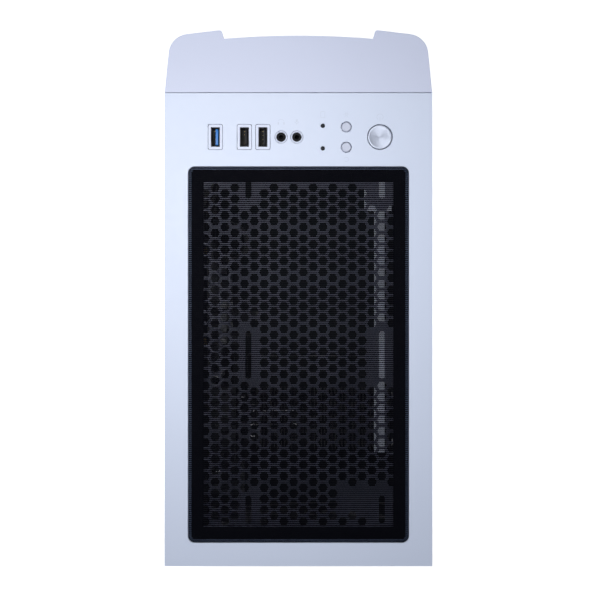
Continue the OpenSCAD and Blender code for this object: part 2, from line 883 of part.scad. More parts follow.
module rear_screws() {
  color([0.3, 0.3, 0.32]) {
    for (p = fan_screw_at)
      screw_y(p[0], p[1], 1.5, y_rear, 6);
    for (p = psu_screw_at)
      screw_y(p[0], p[1], 1.7, y_rear, 4);
    for (i = [0:slot_count - 1])
      translate([bracket_end - 0.8, y_out - 6, slot_centre(i)]) rotate([0, 0, 90])
        screw_y(0, 0, 1.5, 0, 4.5);
  }
}

// ---------- Cooler and fans ----------

pipe_r = 3;
pipe_y = [-16, -5.5, 5.5, 16];
pipe_leg = [30, 44, 44, 30];

module heatsink_fins() {
  count = 38;
  color(steel)
    for (i = [0:count - 1])
      translate([fins_x[0] + (fins_x[1] - fins_x[0]) * i / (count - 1), 0, 0]) plate_yz(0, 0.6) difference() {
        translate([cpu_y - 25, cpu_z - 60]) square([50, 120]);
        for (k = [0:3], s = [-1, 1])
          translate([cpu_y + pipe_y[k], cpu_z + s * pipe_leg[k]]) circle(r = pipe_r + 0.05);
      }
}

// U-shaped pipe: across the base, round two bends and out through the fins
module heat_pipe(leg) {
  bend = 9;
  top = pcb_x - 12.5;
  rotate([0, 0, 0]) {
    translate([top, 0, bend - leg]) cylinder(r = pipe_r, h = 2 * (leg - bend));
    for (s = [-1, 1])
      translate([top - bend, 0, s * (leg - bend)]) rotate([s > 0 ? 90 : -90, 0, 0])
        rotate_extrude(angle = 90, convexity = 4) translate([bend, 0]) circle(r = pipe_r);
    for (s = [-1, 1])
      rod_x([fins_x[1] - 3, 0, s * leg], pipe_r, top - bend - fins_x[1] + 3);
  }
}

module heat_pipes() {
  top = pcb_x - 12.5;
  color(nickel) {
    for (k = [0:3])
      translate([0, cpu_y + pipe_y[k], cpu_z]) heat_pipe(pipe_leg[k]);
    difference() {
      block([pcb_x - 16.5, cpu_y - 19.4, cpu_z - 19], [pcb_x - 5, cpu_y + 19.4, cpu_z + 19]);
      for (k = [0:3])
        translate([top, cpu_y + pipe_y[k], cpu_z - 30]) cylinder(r = pipe_r, h = 60);
    }
  }
}

// Fan frame in its own frame: axis +Y, exhaust at y = fan_t, centred on X and Z
module fan_frame() {
  half = fan_size / 2 - 0.2;
  difference() {
    plate_xz(0, fan_t) polygon(rounded(2 * half, 2 * half, 6));
    rod_y([0, -1, 0], fan_r, fan_t + 2);
    for (sx = [-1, 1], sz = [-1, 1])
      rod_y([sx * fan_hole, -1, sz * fan_hole], 2.1, fan_t + 2);
  }
  difference() {
    union() {
      rod_y([0, fan_t - 5, 0], hub_r, 5);
      for (a = [45:90:315])
        rotate([0, a, 0]) block([hub_r - 1, fan_t - 4, -2], [fan_r + 1, fan_t, 2]);
    }
    rod_y([0, fan_t - 6, 0], 1.56, 5);
  }
}

// Rotor in the same frame: hub, pitched blades and a shaft running in the frame's bearing
module fan_rotor(radius = fan_r - 2, depth = 17) {
  y0 = 1.5;
  mid = y0 + depth / 2;
  rod_y([0, y0, 0], hub_r - 0.5, depth);
  rod_y([0, y0 + depth - 1, 0], 1.5, 4);
  for (i = [0:fan_blades - 1])
    rotate([0, i * 360 / fan_blades, 0]) intersection() {
      translate([(radius + hub_r) / 2, mid, 0]) rotate([52, 0, 0])
        cube([radius - hub_r + 6, 1.6, 40], center = true);
      difference() {
        rod_y([0, y0 + 0.6, 0], radius, depth - 1.2);
        rod_y([0, y0, 0], hub_r - 1, depth);
      }
    }
}

module rear_fan_frame() {
  color(black) translate(rear_fan) fan_frame();
}

module rear_fan_rotor() {
  color([0.15, 0.15, 0.17]) translate(rear_fan) fan_rotor();
}

module front_fan_frames() {
  color(black)
    for (z = front_fan_z)
      translate([0, y_in + joint_gap, z]) fan_frame();
}

module upper_fan_rotor() {
  color([0.15, 0.15, 0.17]) translate([0, y_in + joint_gap, front_fan_z[0]]) fan_rotor();
}

module lower_fan_rotor() {
  color([0.15, 0.15, 0.17]) translate([0, y_in + joint_gap, front_fan_z[1]]) fan_rotor();
}

module cpu_fan_frame() {
  color(black) translate([(fins_x[0] + fins_x[1]) / 2, cpu_fan_y, cpu_z]) fan_frame();
}

module cpu_fan_rotor() {
  color([0.15, 0.15, 0.17]) translate([(fins_x[0] + fins_x[1]) / 2, cpu_fan_y, cpu_z]) fan_rotor();
}

// ---------- Power supply ----------

inlet_x = [-70, -42];
inlet_z = [70, 92];
rocker = [-56, psu_y[1], 56];

module psu_case() {
  wall = 1;
  lo = [psu_x[0], psu_y[0], psu_z[0]];
  hi = [psu_x[1], psu_y[1], psu_z[1]];
  color([0.1, 0.1, 0.11]) {
    difference() {
      block(lo, hi);
      block(lo + [wall, wall, wall], hi - [wall, wall, wall]);
      translate([psu_cx, psu_cy, lo[2] - 1]) cylinder(r = psu_fan_r, h = 4);
      plate_xz(hi[1] - 3, 5) {
        for (i = [0:10], j = [-4:4]) {
          row = (j + (i % 2) / 2) * 0.9;
          p = [-30 + i * hex_pitch * cos(30), (psu_z[0] + psu_z[1]) / 2 + row * hex_pitch];
          if (p[1] > psu_z[0] + 13 && p[1] < psu_z[1] - 13)
            translate(p) hex_hole();
        }
        translate([inlet_x[0], inlet_z[0]]) square([inlet_x[1] - inlet_x[0], inlet_z[1] - inlet_z[0]]);
        translate([rocker[0], rocker[2]]) square([20, 13], center = true);
        for (p = psu_screw_at)
          translate(p) circle(r = 1.8);
      }
      block([30, lo[1] - 1, 50], [56, lo[1] + 3, 90]);
    }
    difference() {
      union() {
        translate([psu_cx, psu_cy, lo[2] + 24]) cylinder(r = hub_r, h = 4);
        block([psu_x[0] + wall, psu_cy - 3, lo[2] + 25], [psu_x[1] - wall, psu_cy + 3, lo[2] + 28]);
      }
      translate([psu_cx, psu_cy, lo[2] + 23]) cylinder(r = 1.56, h = 4);
    }
  }
}

module psu_fan_rotor() {
  color([0.15, 0.15, 0.17]) translate([psu_cx, psu_cy, psu_z[0] + 4]) rotate([90, 0, 0])
    fan_rotor(radius = psu_fan_r - 2);
}

module psu_fan_grille() {
  wire = 0.9;
  z = psu_z[0] - wire - 0.1;
  color(steel) translate([psu_cx, psu_cy, z]) union() {
    for (r = [12:9.5:60])
      rotate_extrude(convexity = 4) translate([r, 0]) circle(r = wire, $fn = 16);
    for (a = [0:60:300])
      rotate([0, 90, a]) translate([0, 0, 12]) cylinder(r = wire - 0.05, h = 50, $fn = 16);
  }
}

// Three-pin mains inlet, open to the rear
module psu_inlet() {
  y0 = psu_y[1] - 20;
  y1 = psu_y[1] + 0.6;
  mid = [(inlet_x[0] + inlet_x[1]) / 2, (inlet_z[0] + inlet_z[1]) / 2];
  color(black) {
    difference() {
      block([inlet_x[0] + 0.2, y0, inlet_z[0] + 0.2], [inlet_x[1] - 0.2, y1, inlet_z[1] - 0.2]);
      block([mid[0] - 12, y0 + 3, mid[1] - 8], [mid[0] + 12, y1 + 1, mid[1] + 8]);
    }
    for (p = [[-7, -3.5], [7, -3.5], [0, 0.5]])
      block([mid[0] + p[0] - 1, y0 + 2, mid[1] + p[1] - 2], [mid[0] + p[0] + 1, y1 - 4, mid[1] + p[1] + 2]);
  }
}

// Mains rocker, pivoting on its pin between off and on
module psu_switch() {
  color(black) translate(rocker) {
    rod_x([-8.5, -1, 0], 4.6, 17);
    rotate([9, 0, 0]) block([-8.5, -1, -5.6], [8.5, 1.4, 5.6]);
  }
}

// ---------- Drives ----------

cage_y = [-106, 2];
bay_z = [24, 66];

module drive_cage() {
  x = [-88, 68];
  z1 = shroud_z - joint_gap;
  z0 = z_floor + joint_gap;
  color(dark_steel) {
    for (y = [cage_y[0], cage_y[1] - sheet])
      difference() {
        block([x[0], y, z0], [x[1], y + sheet, z1]);
        for (i = [0:4], j = [0, 1])
          translate([x[0] + 16 + i * 28, y - 1, bay_z[j] + 10]) cube([18, 3, 20]);
      }
    difference() {
      block([x[1] - sheet, cage_y[0], z0], [x[1], cage_y[1], z1]);
      for (b = bay_z)
        block([x[1] - 2, -70, b + 2], [x[1] + 1, -30, b + 22]);
    }
    for (b = bay_z) {
      block([x[0], cage_y[0] + sheet - 0.1, b - 2], [x[1], cage_y[0] + 9, b - 1]);
      block([x[0], cage_y[1] - 9, b - 2], [x[1], cage_y[1] - sheet + 0.1, b - 1]);
    }
  }
}

module hard_drive() {
  x = [-84, 63];
  y = [-102.8, -1.2];
  z = bay_z[0] - 0.8;
  color([0.45, 0.46, 0.48]) union() {
    block([x[0], y[0], z + 3], [x[1], y[1], z + 26]);
    block([x[0] + 4, y[0] + 4, z], [x[1] - 30, y[1] - 4, z + 4]);
    translate([x[0] + 50, (y[0] + y[1]) / 2, z + 25]) cylinder(r = 44, h = 1.6);
    translate([x[1] - 22, y[0] + 26, z + 25]) cylinder(r = 14, h = 1.6);
  }
}

// ---------- Cables ----------

// A round cable swept along a list of points, as one closed tube
function unit(v) = v / norm(v);
function tangent(p, i) = unit(p[min(i + 1, len(p) - 1)] - p[max(i - 1, 0)]);
function ring(p, i, r, n) =
  let (t = tangent(p, i), u = unit(cross(t, abs(t[1]) > 0.9 ? [1, 0, 0] : [0, 1, 0])), v = cross(t, u))
  [for (k = [0:n - 1]) p[i] + r * (cos(360 * k / n) * u + sin(360 * k / n) * v)];

module cable(p, r, n = 8) {
  last = len(p) - 1;
  points = [for (i = [0:last]) each ring(p, i, r, n)];
  faces = concat(
    [[for (k = [0:n - 1]) k]],
    [for (i = [0:last - 1], k = [0:n - 1])
      each [
        [i * n + k, (i + 1) * n + k, (i + 1) * n + (k + 1) % n],
        [i * n + k, (i + 1) * n + (k + 1) % n, i * n + (k + 1) % n]]],
    [[for (k = [n - 1:-1:0]) last * n + k]]);
  polyhedron(points, faces);
}

// Smooth curve through hand-chosen points
function between(a, b, c, d, t) =
  0.5 * (2 * b + (c - a) * t + (2 * a - 5 * b + 4 * c - d) * t * t + (3 * b - a - 3 * c + d) * t * t * t);
function curve(p, steps = 2) = concat(
  [for (i = [0:len(p) - 2], s = [0:steps - 1])
    between(p[max(i - 1, 0)], p[i], p[i + 1], p[min(i + 2, len(p) - 1)], s / steps)],
  [p[len(p) - 1]]);

module main_power_cable() {
  color(black) cable(curve(main_route), 4);
}

module cpu_power_cable() {
  color(black) cable(curve(cpu_route), 3);
}

module front_io_cable() {
  color(black) cable(curve(io_route), 2.5);
}

top_cover();
top_frame();
light_strip();
filter_frame();
filter_mesh();
port_frames();
io_board();
usb3_port();
usb2_ports();
audio_jacks();
led_lenses();
power_button();
reset_button();
light_button();
front_bezel();
front_mesh();
front_frame();
base_pan();
feet();
foot_pads();
psu_filter();
rear_frame();
motherboard_tray();
psu_shroud();
left_panel();
left_window();
left_thumbscrews();
right_panel();
right_thumbscrews();
motherboard();
standoffs();
cpu_socket();
board_slots();
ram_modules();
board_heatsinks();
board_connectors();
rear_io_ports();
rear_audio_jacks();
io_shield();
slot_covers();
rear_screws();
heatsink_fins();
heat_pipes();
cpu_fan_frame();
cpu_fan_rotor();
rear_fan_frame();
rear_fan_rotor();
front_fan_frames();
upper_fan_rotor();
lower_fan_rotor();
psu_case();
psu_fan_rotor();
psu_fan_grille();
psu_inlet();
psu_switch();
drive_cage();
hard_drive();
main_power_cable();
cpu_power_cable();
front_io_cable();
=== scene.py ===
"""Looks of a white desktop computer tower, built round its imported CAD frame.

Metres, +Z up, front towards -Y, the windowed side towards -X.
"""

import json
import math
import random

import bmesh
import bpy
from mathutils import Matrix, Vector


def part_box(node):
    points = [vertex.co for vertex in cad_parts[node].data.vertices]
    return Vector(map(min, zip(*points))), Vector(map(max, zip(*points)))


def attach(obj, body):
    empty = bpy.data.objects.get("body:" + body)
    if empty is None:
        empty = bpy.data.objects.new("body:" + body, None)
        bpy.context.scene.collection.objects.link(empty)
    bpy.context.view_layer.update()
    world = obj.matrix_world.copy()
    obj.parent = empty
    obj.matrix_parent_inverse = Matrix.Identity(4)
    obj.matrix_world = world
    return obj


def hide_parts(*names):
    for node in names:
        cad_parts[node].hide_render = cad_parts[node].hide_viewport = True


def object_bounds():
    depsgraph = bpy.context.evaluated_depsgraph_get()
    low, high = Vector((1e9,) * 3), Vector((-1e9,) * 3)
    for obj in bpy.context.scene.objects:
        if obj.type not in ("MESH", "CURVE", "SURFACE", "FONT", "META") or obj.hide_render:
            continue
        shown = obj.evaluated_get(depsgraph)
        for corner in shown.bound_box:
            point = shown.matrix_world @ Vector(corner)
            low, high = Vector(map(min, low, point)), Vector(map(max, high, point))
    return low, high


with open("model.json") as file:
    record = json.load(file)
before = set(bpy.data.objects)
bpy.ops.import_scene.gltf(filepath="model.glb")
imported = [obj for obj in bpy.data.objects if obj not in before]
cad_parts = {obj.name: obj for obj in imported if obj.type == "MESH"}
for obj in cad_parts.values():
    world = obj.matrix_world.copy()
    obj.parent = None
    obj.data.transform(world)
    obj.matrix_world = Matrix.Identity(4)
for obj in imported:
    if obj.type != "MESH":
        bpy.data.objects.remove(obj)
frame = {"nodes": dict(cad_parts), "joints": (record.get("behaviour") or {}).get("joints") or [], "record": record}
cad_bounds = [list(corner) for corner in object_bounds()]
CASE_TOP = cad_bounds[1][2]
NODES = frame["nodes"]
RECORD = frame["record"]
BODY = {n: b for b, members in RECORD["behaviour"]["bodies"].items() for n in members}
SLOT = {s["node"]: s["material_slot"] for s in RECORD["subparts"]}
MM = 0.001
TAU = math.tau
SOFT_EDGE = 0.3 * MM
random.seed(7)
MATT = {"Specular IOR Level": 0.04}
DULL = {"Specular IOR Level": 0.12}


# ---------- Materials ----------


class Paint:
    """One procedural material: a Principled shader, and short ways to add nodes to it."""

    def __init__(self, name, colour, roughness=0.5, metallic=0.0, **sockets):
        self.material = bpy.data.materials.new(name)
        self.material.use_nodes = True
        self.tree = self.material.node_tree
        self.shader = self.tree.nodes["Principled BSDF"]
        self.base = (*colour, 1)
        self.normal = self.add("ShaderNodeBevel", {"Radius": SOFT_EDGE}, samples=4).outputs[0]
        values = {"Base Color": self.base, "Roughness": roughness, "Metallic": metallic}
        for key, value in {**values, **sockets}.items():
            self.shader.inputs[key].default_value = value
        self.place = self.add("ShaderNodeTexCoord").outputs["Object"]

    def add(self, kind, inputs=None, **settings):
        node = self.tree.nodes.new(kind)
        for key, value in settings.items():
            setattr(node, key, value)
        for key, value in (inputs or {}).items():
            self.feed(node.inputs[key], value)
        return node

    def feed(self, socket, value):
        if isinstance(value, bpy.types.NodeSocket):
            self.tree.links.new(value, socket)
        else:
            socket.default_value = value

    def maths(self, operation, *values):
        node = self.add("ShaderNodeMath", operation=operation)
        for socket, value in zip(node.inputs, values):
            self.feed(socket, value)
        return node.outputs[0]

    def axis(self, letter, origin=0.0):
        """Distance from origin along one axis."""
        split = self.add("ShaderNodeSeparateXYZ", {"Vector": self.place})
        return self.maths("SUBTRACT", split.outputs[letter], origin)

    def scaled(self, size, stretch=(1, 1, 1)):
        scale = tuple(s / size for s in stretch)
        return self.add("ShaderNodeMapping", {"Vector": self.place, "Scale": scale}).outputs[0]

    def noise(self, size, detail=2.0, stretch=(1, 1, 1)):
        inputs = {"Vector": self.scaled(size, stretch), "Scale": 1.0, "Detail": detail}
        return self.add("ShaderNodeTexNoise", inputs).outputs[0]

    def cells(self, size, output="Distance", spread=1.0, **settings):
        inputs = {"Vector": self.scaled(size), "Scale": 1.0, "Randomness": spread}
        return self.add("ShaderNodeTexVoronoi", inputs, **settings).outputs[output]

    def remap(self, value, low, high, to_low=0.0, to_high=1.0):
        inputs = {"Value": value, "From Min": low, "From Max": high, "To Min": to_low, "To Max": to_high}
        return self.add("ShaderNodeMapRange", inputs).outputs[0]

    def tint(self, factor, colour):
        """Mixes another colour over the base, by factor."""
        node = self.add("ShaderNodeMix", data_type="RGBA")
        self.feed(node.inputs[0], factor)
        self.feed(node.inputs[6], self.base)
        self.feed(node.inputs[7], (*colour, 1))
        self.base = node.outputs[2]
        self.feed(self.shader.inputs["Base Color"], self.base)
        return self

    def roughen(self, value, low, high):
        self.feed(self.shader.inputs["Roughness"], self.remap(value, 0.3, 0.7, low, high))
        return self

    def bump(self, height, depth):
        """Raises the surface by up to depth metres where height is 1."""
        node = self.add("ShaderNodeBump", {"Height": height, "Distance": depth, "Strength": 1.0})
        self.feed(node.inputs["Normal"], self.normal)
        self.normal = node.outputs[0]
        self.feed(self.shader.inputs["Normal"], self.normal)
        return self


def moulded(name, colour, roughness=0.45, grain=0.35 * MM, depth=9e-6, **sockets):
    """Moulded plastic: spark-eroded grain, faint flow clouds and uneven gloss."""
    p = Paint(name, colour, roughness, **sockets)
    p.bump(p.noise(grain, 3), depth)
    p.tint(p.remap(p.noise(70 * MM, 1), 0.35, 0.7, 0, 0.35), [c * 0.965 for c in colour])
    p.roughen(p.noise(5 * MM, 4), roughness - 0.06, roughness + 0.08)
    return p.material


def powder_coat(name, colour, roughness=0.5, **sockets):
    """Powder-coated steel: orange peel, with fine speckle."""
    p = Paint(name, colour, roughness, **sockets)
    p.bump(p.noise(1.3 * MM, 2), 22e-6)
    p.bump(p.noise(0.3 * MM, 1), 6e-6)
    p.tint(p.remap(p.cells(0.8 * MM), 0.15, 0.5, 0.5, 0), [min(1, c * 1.15 + 0.004) for c in colour])
    p.roughen(p.noise(9 * MM, 3), roughness - 0.07, roughness + 0.07)
    return p.material


def brushed(name, colour, roughness=0.3, stretch=(1, 1, 40)):
    """Metal with a fine grain, closest along the axis with the largest stretch."""
    p = Paint(name, colour, roughness, 1.0)
    grain = p.noise(12 * MM, 4, stretch)
    p.bump(grain, 5e-6)
    p.roughen(grain, roughness - 0.08, roughness + 0.1)
    p.tint(p.remap(p.noise(18 * MM, 2), 0.4, 0.7, 0, 0.4), [c * 0.86 for c in colour])
    return p.material


def socket_shell(name):
    """Plated shell, darkened as painted shade inside the socket; below its lip painted shade turns it black and
    dulls its metal sheen.
    """
    p = Paint(name, (0.06, 0.06, 0.07), 0.4, 0.8, **DULL)
    lip = CASE_TOP - 1.3 * MM
    # Painted shade: below the lip the shell turns black and its metal sheen is faded out.
    p.tint(p.remap(p.axis("Z", lip), 0, -0.5 * MM), (0.006, 0.006, 0.008))
    p.feed(p.shader.inputs["Metallic"], p.remap(p.axis("Z", lip), -0.5 * MM, 0, 0, 0.8))
    p.bump(p.noise(0.5 * MM, 3), 6e-6)
    p.roughen(p.noise(3 * MM, 3), 0.35, 0.55)
    return p.material


def anodised(name, colour, roughness=0.35):
    """Bead-blasted, anodised aluminium."""
    p = Paint(name, colour, roughness, 0.9)
    p.bump(p.noise(0.22 * MM, 2), 7e-6)
    p.roughen(p.noise(14 * MM, 3), roughness - 0.05, roughness + 0.09)
    p.tint(p.remap(p.noise(40 * MM, 2), 0.4, 0.7, 0, 0.5), [c * 0.85 for c in colour])
    return p.material


def turned(name, colour, centre):
    """A face turned on a lathe about a vertical axis: fine rings that spread reflections into wedges."""
    p = Paint(name, colour, 0.36, 0.5, Anisotropic=0.45)
    x, y = p.axis("X", centre[0]), p.axis("Y", centre[1])
    radius = p.maths("SQRT", p.maths("ADD", p.maths("MULTIPLY", x, x), p.maths("MULTIPLY", y, y)))
    inputs = {"W": p.maths("DIVIDE", radius, 0.16 * MM), "Scale": 1.0}
    rings = p.add("ShaderNodeTexNoise", inputs, noise_dimensions="1D").outputs[0]
    p.bump(rings, 5e-6)
    tangent = p.add("ShaderNodeTangent", direction_type="RADIAL", axis="Z")
    p.feed(p.shader.inputs["Tangent"], tangent.outputs[0])
    p.tint(p.remap(rings, 0.35, 0.65, 0, 0.5), [c * 0.9 for c in colour])
    p.roughen(p.noise(3 * MM, 3), 0.32, 0.44)
    return p.material


def circuit_board(name, colour, trace):
    """Solder mask over bundles of parallel tracks, with plated holes."""
    p = Paint(name, colour, 0.38)
    y, z = p.axis("Y"), p.axis("Z")
    pick = p.add("ShaderNodeSeparateColor", {"Color": p.cells(21 * MM, "Color", distance="CHEBYCHEV")})
    along = p.maths("GREATER_THAN", pick.outputs[0], 0.5)
    slant = p.maths("GREATER_THAN", pick.outputs[1], 0.72)
    across = p.maths("SUBTRACT", 1.0, along)
    mixed = p.maths("ADD", p.maths("MULTIPLY", y, along), p.maths("MULTIPLY", z, across))
    mixed = p.maths("ADD", mixed, p.maths("MULTIPLY", p.maths("ADD", y, z), slant))
    tracks = p.maths("PINGPONG", mixed, 0.55 * MM)
    lines = p.remap(tracks, 0.30 * MM, 0.38 * MM)
    drawn = p.maths("MULTIPLY", lines, p.maths("GREATER_THAN", pick.outputs[2], 0.35))
    vias = p.remap(p.cells(4.2 * MM, spread=0.6), 0.09, 0.075)
    p.tint(p.maths("MULTIPLY", drawn, 0.8), trace)
    p.tint(p.maths("MULTIPLY", vias, 0.7), (0.45, 0.42, 0.33))
    p.bump(drawn, 12e-6)
    p.roughen(p.noise(8 * MM, 3), 0.32, 0.46)
    return p.material


def braided(name, colour, size=1.1 * MM):
    """Woven cable sleeve: crossed strands from two slanted families of bands, with a painted sheen on their raised
    crowns.
    """
    p = Paint(name, colour, 0.62)
    x, y, z = p.axis("X"), p.axis("Y"), p.axis("Z")
    across = p.maths("ADD", x, y)
    one = p.maths("PINGPONG", p.maths("ADD", across, z), size / 2)
    two = p.maths("PINGPONG", p.maths("SUBTRACT", across, z), size / 2)
    weave = p.maths("DIVIDE", p.maths("MAXIMUM", one, two), size / 2)
    p.bump(weave, 60e-6)
    # Painted sheen: the raised crowns of the weave are tinted lighter.
    p.tint(p.remap(weave, 0.5, 1.0, 0, 0.8), [min(1, c * 2.2 + 0.012) for c in colour])
    p.roughen(p.noise(2 * MM), 0.55, 0.7)
    return p.material


def smoked(name, colour, alpha=0.3):
    """Tinted clear acrylic with the faintest ripple and dust."""
    p = Paint(name, colour, 0.05, **{"Alpha": alpha, "Specular IOR Level": 0.6})
    p.bump(p.noise(90 * MM, 1), 60e-6)
    p.tint(p.remap(p.noise(1.2 * MM, 4), 0.66, 0.8, 0, 0.2), (0.3, 0.3, 0.32))
    p.roughen(p.noise(20 * MM, 5), 0.03, 0.09)
    return p.material


def milky(name, colour, glow=0.0):
    """Light-spreading plastic with rows of diodes just showing through."""
    soft = {"Subsurface Weight": 0.15, "Subsurface Radius": (2 * MM, 2 * MM, 2 * MM)}
    p = Paint(name, colour, 0.35, **soft)
    p.shader.inputs["Emission Color"].default_value = (*colour, 1)
    p.shader.inputs["Emission Strength"].default_value = glow
    spots = p.maths("PINGPONG", p.axis("Y"), 8.3 * MM)
    p.tint(p.remap(spots, 2.2 * MM, 0.6 * MM, 0, 0.5), [min(1, c * 1.2) for c in colour])
    p.bump(p.noise(0.8 * MM), 6e-6)
    return p.material


WHITE = (0.72, 0.79, 0.945)
LILAC = (0.70, 0.745, 0.91)
COAT_BLACK = (0.030, 0.031, 0.038)
PLASTIC_BLACK = (0.018, 0.018, 0.022)

PAINTS = {
    "white_plastic": moulded("white_plastic", WHITE, 0.5),
    "white_steel": powder_coat("white_steel", WHITE, 0.42),
    "black_steel": powder_coat("black_steel", COAT_BLACK, 0.5),
    "filter_band": moulded("filter_band", (0.0040, 0.0043, 0.0075), 0.6, 0.9 * MM, 30e-6, **MATT),
    "filter_mesh": moulded("filter_mesh", (0.0018, 0.0021, 0.0045), 0.7, 0.2 * MM, 6e-6, **MATT),
    "light_strip": milky("light_strip", (0.74, 0.80, 0.96), 0.19),
    "circuit_board": circuit_board("green_board", (0.012, 0.05, 0.035), (0.03, 0.10, 0.06)),
    "usb3_socket": socket_shell("usb3_shell"),
    "usb2_socket": socket_shell("usb2_shell"),
    "jack_plastic": moulded("jack_plastic", (0.006, 0.006, 0.008), 0.5, **DULL),
    "led_lens": moulded("led_lens", (0.005, 0.006, 0.014), 0.25, 0.6 * MM, 3e-6, **DULL),
    "power_metal": turned("power_metal", (0.78, 0.81, 0.88), (0, 0)),
    "small_button": moulded("small_button", (0.60, 0.64, 0.77), 0.4, 0.3 * MM, 5e-6),
    "grille_steel": powder_coat("grille_steel", (0.022, 0.023, 0.027), 0.45),
    "foot_plastic": moulded("foot_plastic", (0.03, 0.03, 0.034), 0.5),
    "foot_rubber": moulded("foot_rubber", (0.02, 0.02, 0.02), 0.85, 0.6 * MM, 30e-6),
    "dust_filter": moulded("dust_filter", (0.025, 0.025, 0.029), 0.5),
    "window": smoked("window", (0.05, 0.053, 0.06), 0.14),
    "thumbscrew": powder_coat("thumbscrew", (0.02, 0.02, 0.023), 0.4),
    "motherboard_pcb": circuit_board("black_board", (0.022, 0.026, 0.034), (0.075, 0.088, 0.11)),
    "brass": brushed("brass", (0.72, 0.53, 0.24), 0.3),
    "socket_steel": brushed("socket_steel", (0.60, 0.60, 0.62), 0.3, (1, 40, 1)),
    "slot_plastic": moulded("slot_plastic", (0.016, 0.016, 0.019), 0.42),
    "ram_spreader": anodised("ram_spreader", (0.07, 0.072, 0.08)),
    "board_heatsink": anodised("board_heatsink", (0.085, 0.09, 0.10)),
    "port_steel": brushed("port_steel", (0.36, 0.365, 0.38), 0.36, (1, 1, 30)),
    "shield_steel": powder_coat("shield_steel", (0.03, 0.031, 0.035), 0.4),
    "screw_steel": brushed("screw_steel", (0.12, 0.12, 0.13), 0.3),
    "fin_aluminium": brushed("fin_aluminium", (0.05, 0.051, 0.055), 0.45, (1, 1, 30)),
    "pipe_nickel": brushed("pipe_nickel", (0.24, 0.24, 0.26), 0.24, (1, 30, 30)),
    "fan_plastic": moulded("fan_plastic", PLASTIC_BLACK, 0.42),
    "rotor_plastic": moulded("rotor_plastic", (0.035, 0.036, 0.042), 0.3, 0.5 * MM, 4e-6),
    "psu_steel": powder_coat("psu_steel", (0.020, 0.020, 0.023), 0.55),
    "wire_chrome": brushed("wire_chrome", (0.55, 0.55, 0.57), 0.18, (1, 1, 1)),
    "inlet_plastic": moulded("inlet_plastic", (0.014, 0.014, 0.016), 0.35),
    "rocker_plastic": moulded("rocker_plastic", (0.012, 0.012, 0.014), 0.2, 0.6 * MM, 3e-6),
    "drive_metal": brushed("drive_metal", (0.42, 0.43, 0.45), 0.36, (1, 12, 1)),
    "cable_sleeve": braided("cable_sleeve", (0.012, 0.012, 0.014)),
}
EXTRA = {
    "bar_lens": moulded("bar_lens", (0.10, 0.105, 0.12), 0.35),
    "filter_rim_reflection": moulded("filter_rim_reflection", (0.08, 0.11, 0.19), 0.6),
    "plate_black": anodised("plate_black", (0.07, 0.072, 0.08), 0.3),
    "rose_tongue": moulded("rose_tongue", (0.55, 0.04, 0.05), 0.4),
    "bezel_white": moulded("bezel_white", LILAC, 0.5),
    "frame_white": moulded("frame_white", (0.70, 0.755, 0.915), 0.45),
    "top_steel": powder_coat("top_steel", (0.26, 0.275, 0.38), 0.5),
    "blue_tongue": moulded("blue_tongue", (0.02, 0.20, 0.62), 0.4),
    "dark_tongue": moulded("dark_tongue", (0.018, 0.018, 0.021), 0.5, **DULL),
    "gold": brushed("gold", (0.83, 0.62, 0.28), 0.25),
    # Painted shade of the embossed symbols: the cover's white, a little darker.
    "symbol_shade_grey": moulded("symbol_shade_grey", tuple(c * 0.90 for c in WHITE), 0.5),
    "print_white": moulded("print_white", (0.55, 0.56, 0.58), 0.5),
    "border_black": moulded("border_black", (0.010, 0.010, 0.012), 0.3),
    "wire_grey": braided("wire_grey", (0.07, 0.074, 0.085), 0.7 * MM),
    "wire_black": braided("wire_black", (0.014, 0.014, 0.017), 0.7 * MM),
    "capacitor": brushed("capacitor", (0.50, 0.51, 0.54), 0.3),
    "choke": moulded("choke", (0.07, 0.07, 0.075), 0.6, 0.4 * MM, 14e-6),
    "chip": moulded("chip", (0.014, 0.014, 0.016), 0.4),
    "mint": moulded("mint", (0.10, 0.52, 0.28), 0.35),
    "rose": moulded("rose", (0.80, 0.25, 0.36), 0.35),
    "sky": moulded("sky", (0.16, 0.42, 0.78), 0.35),
    "grommet": moulded("grommet", (0.015, 0.015, 0.016), 0.8),
    "label_silver": moulded("label_silver", (0.52, 0.53, 0.55), 0.35, 2 * MM, 3e-6),
}


# ---------- Building blocks ----------


ARC_STEPS = 6


def finish_mesh(obj, material, body, slot, bevel=0.0, split=50):
    """Material, rounded edges, smooth shading and body of a piece."""
    obj.data.materials.clear()
    obj.data.materials.append(material)
    for face in obj.data.polygons:
        face.use_smooth = True
    if bevel:
        rounding = obj.modifiers.new("rounding", "BEVEL")
        rounding.width = bevel
        rounding.segments = 2
        rounding.limit_method = "ANGLE"
        rounding.angle_limit = math.radians(35)
        rounding.use_clamp_overlap = True
    if split:
        edges = obj.modifiers.new("edges", "EDGE_SPLIT")
        edges.split_angle = math.radians(split)
    if body is not None:
        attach(obj, body)
    return obj


def from_bmesh(name, mesh, material, body, slot, **finish):
    bmesh.ops.recalc_face_normals(mesh, faces=mesh.faces)
    data = bpy.data.meshes.new(name)
    mesh.to_mesh(data)
    mesh.free()
    obj = bpy.data.objects.new(name, data)
    bpy.context.scene.collection.objects.link(obj)
    return finish_mesh(obj, material, body, slot, **finish)


def add_box(mesh, lo, hi):
    """A box between two corners, added to a bmesh."""
    corners = [
        mesh.verts.new((x, y, z)) for x in (lo[0], hi[0]) for y in (lo[1], hi[1]) for z in (lo[2], hi[2])
    ]
    for loop in ((0, 1, 3, 2), (4, 6, 7, 5), (0, 4, 5, 1), (2, 3, 7, 6), (0, 2, 6, 4), (1, 5, 7, 3)):
        mesh.faces.new([corners[i] for i in loop])


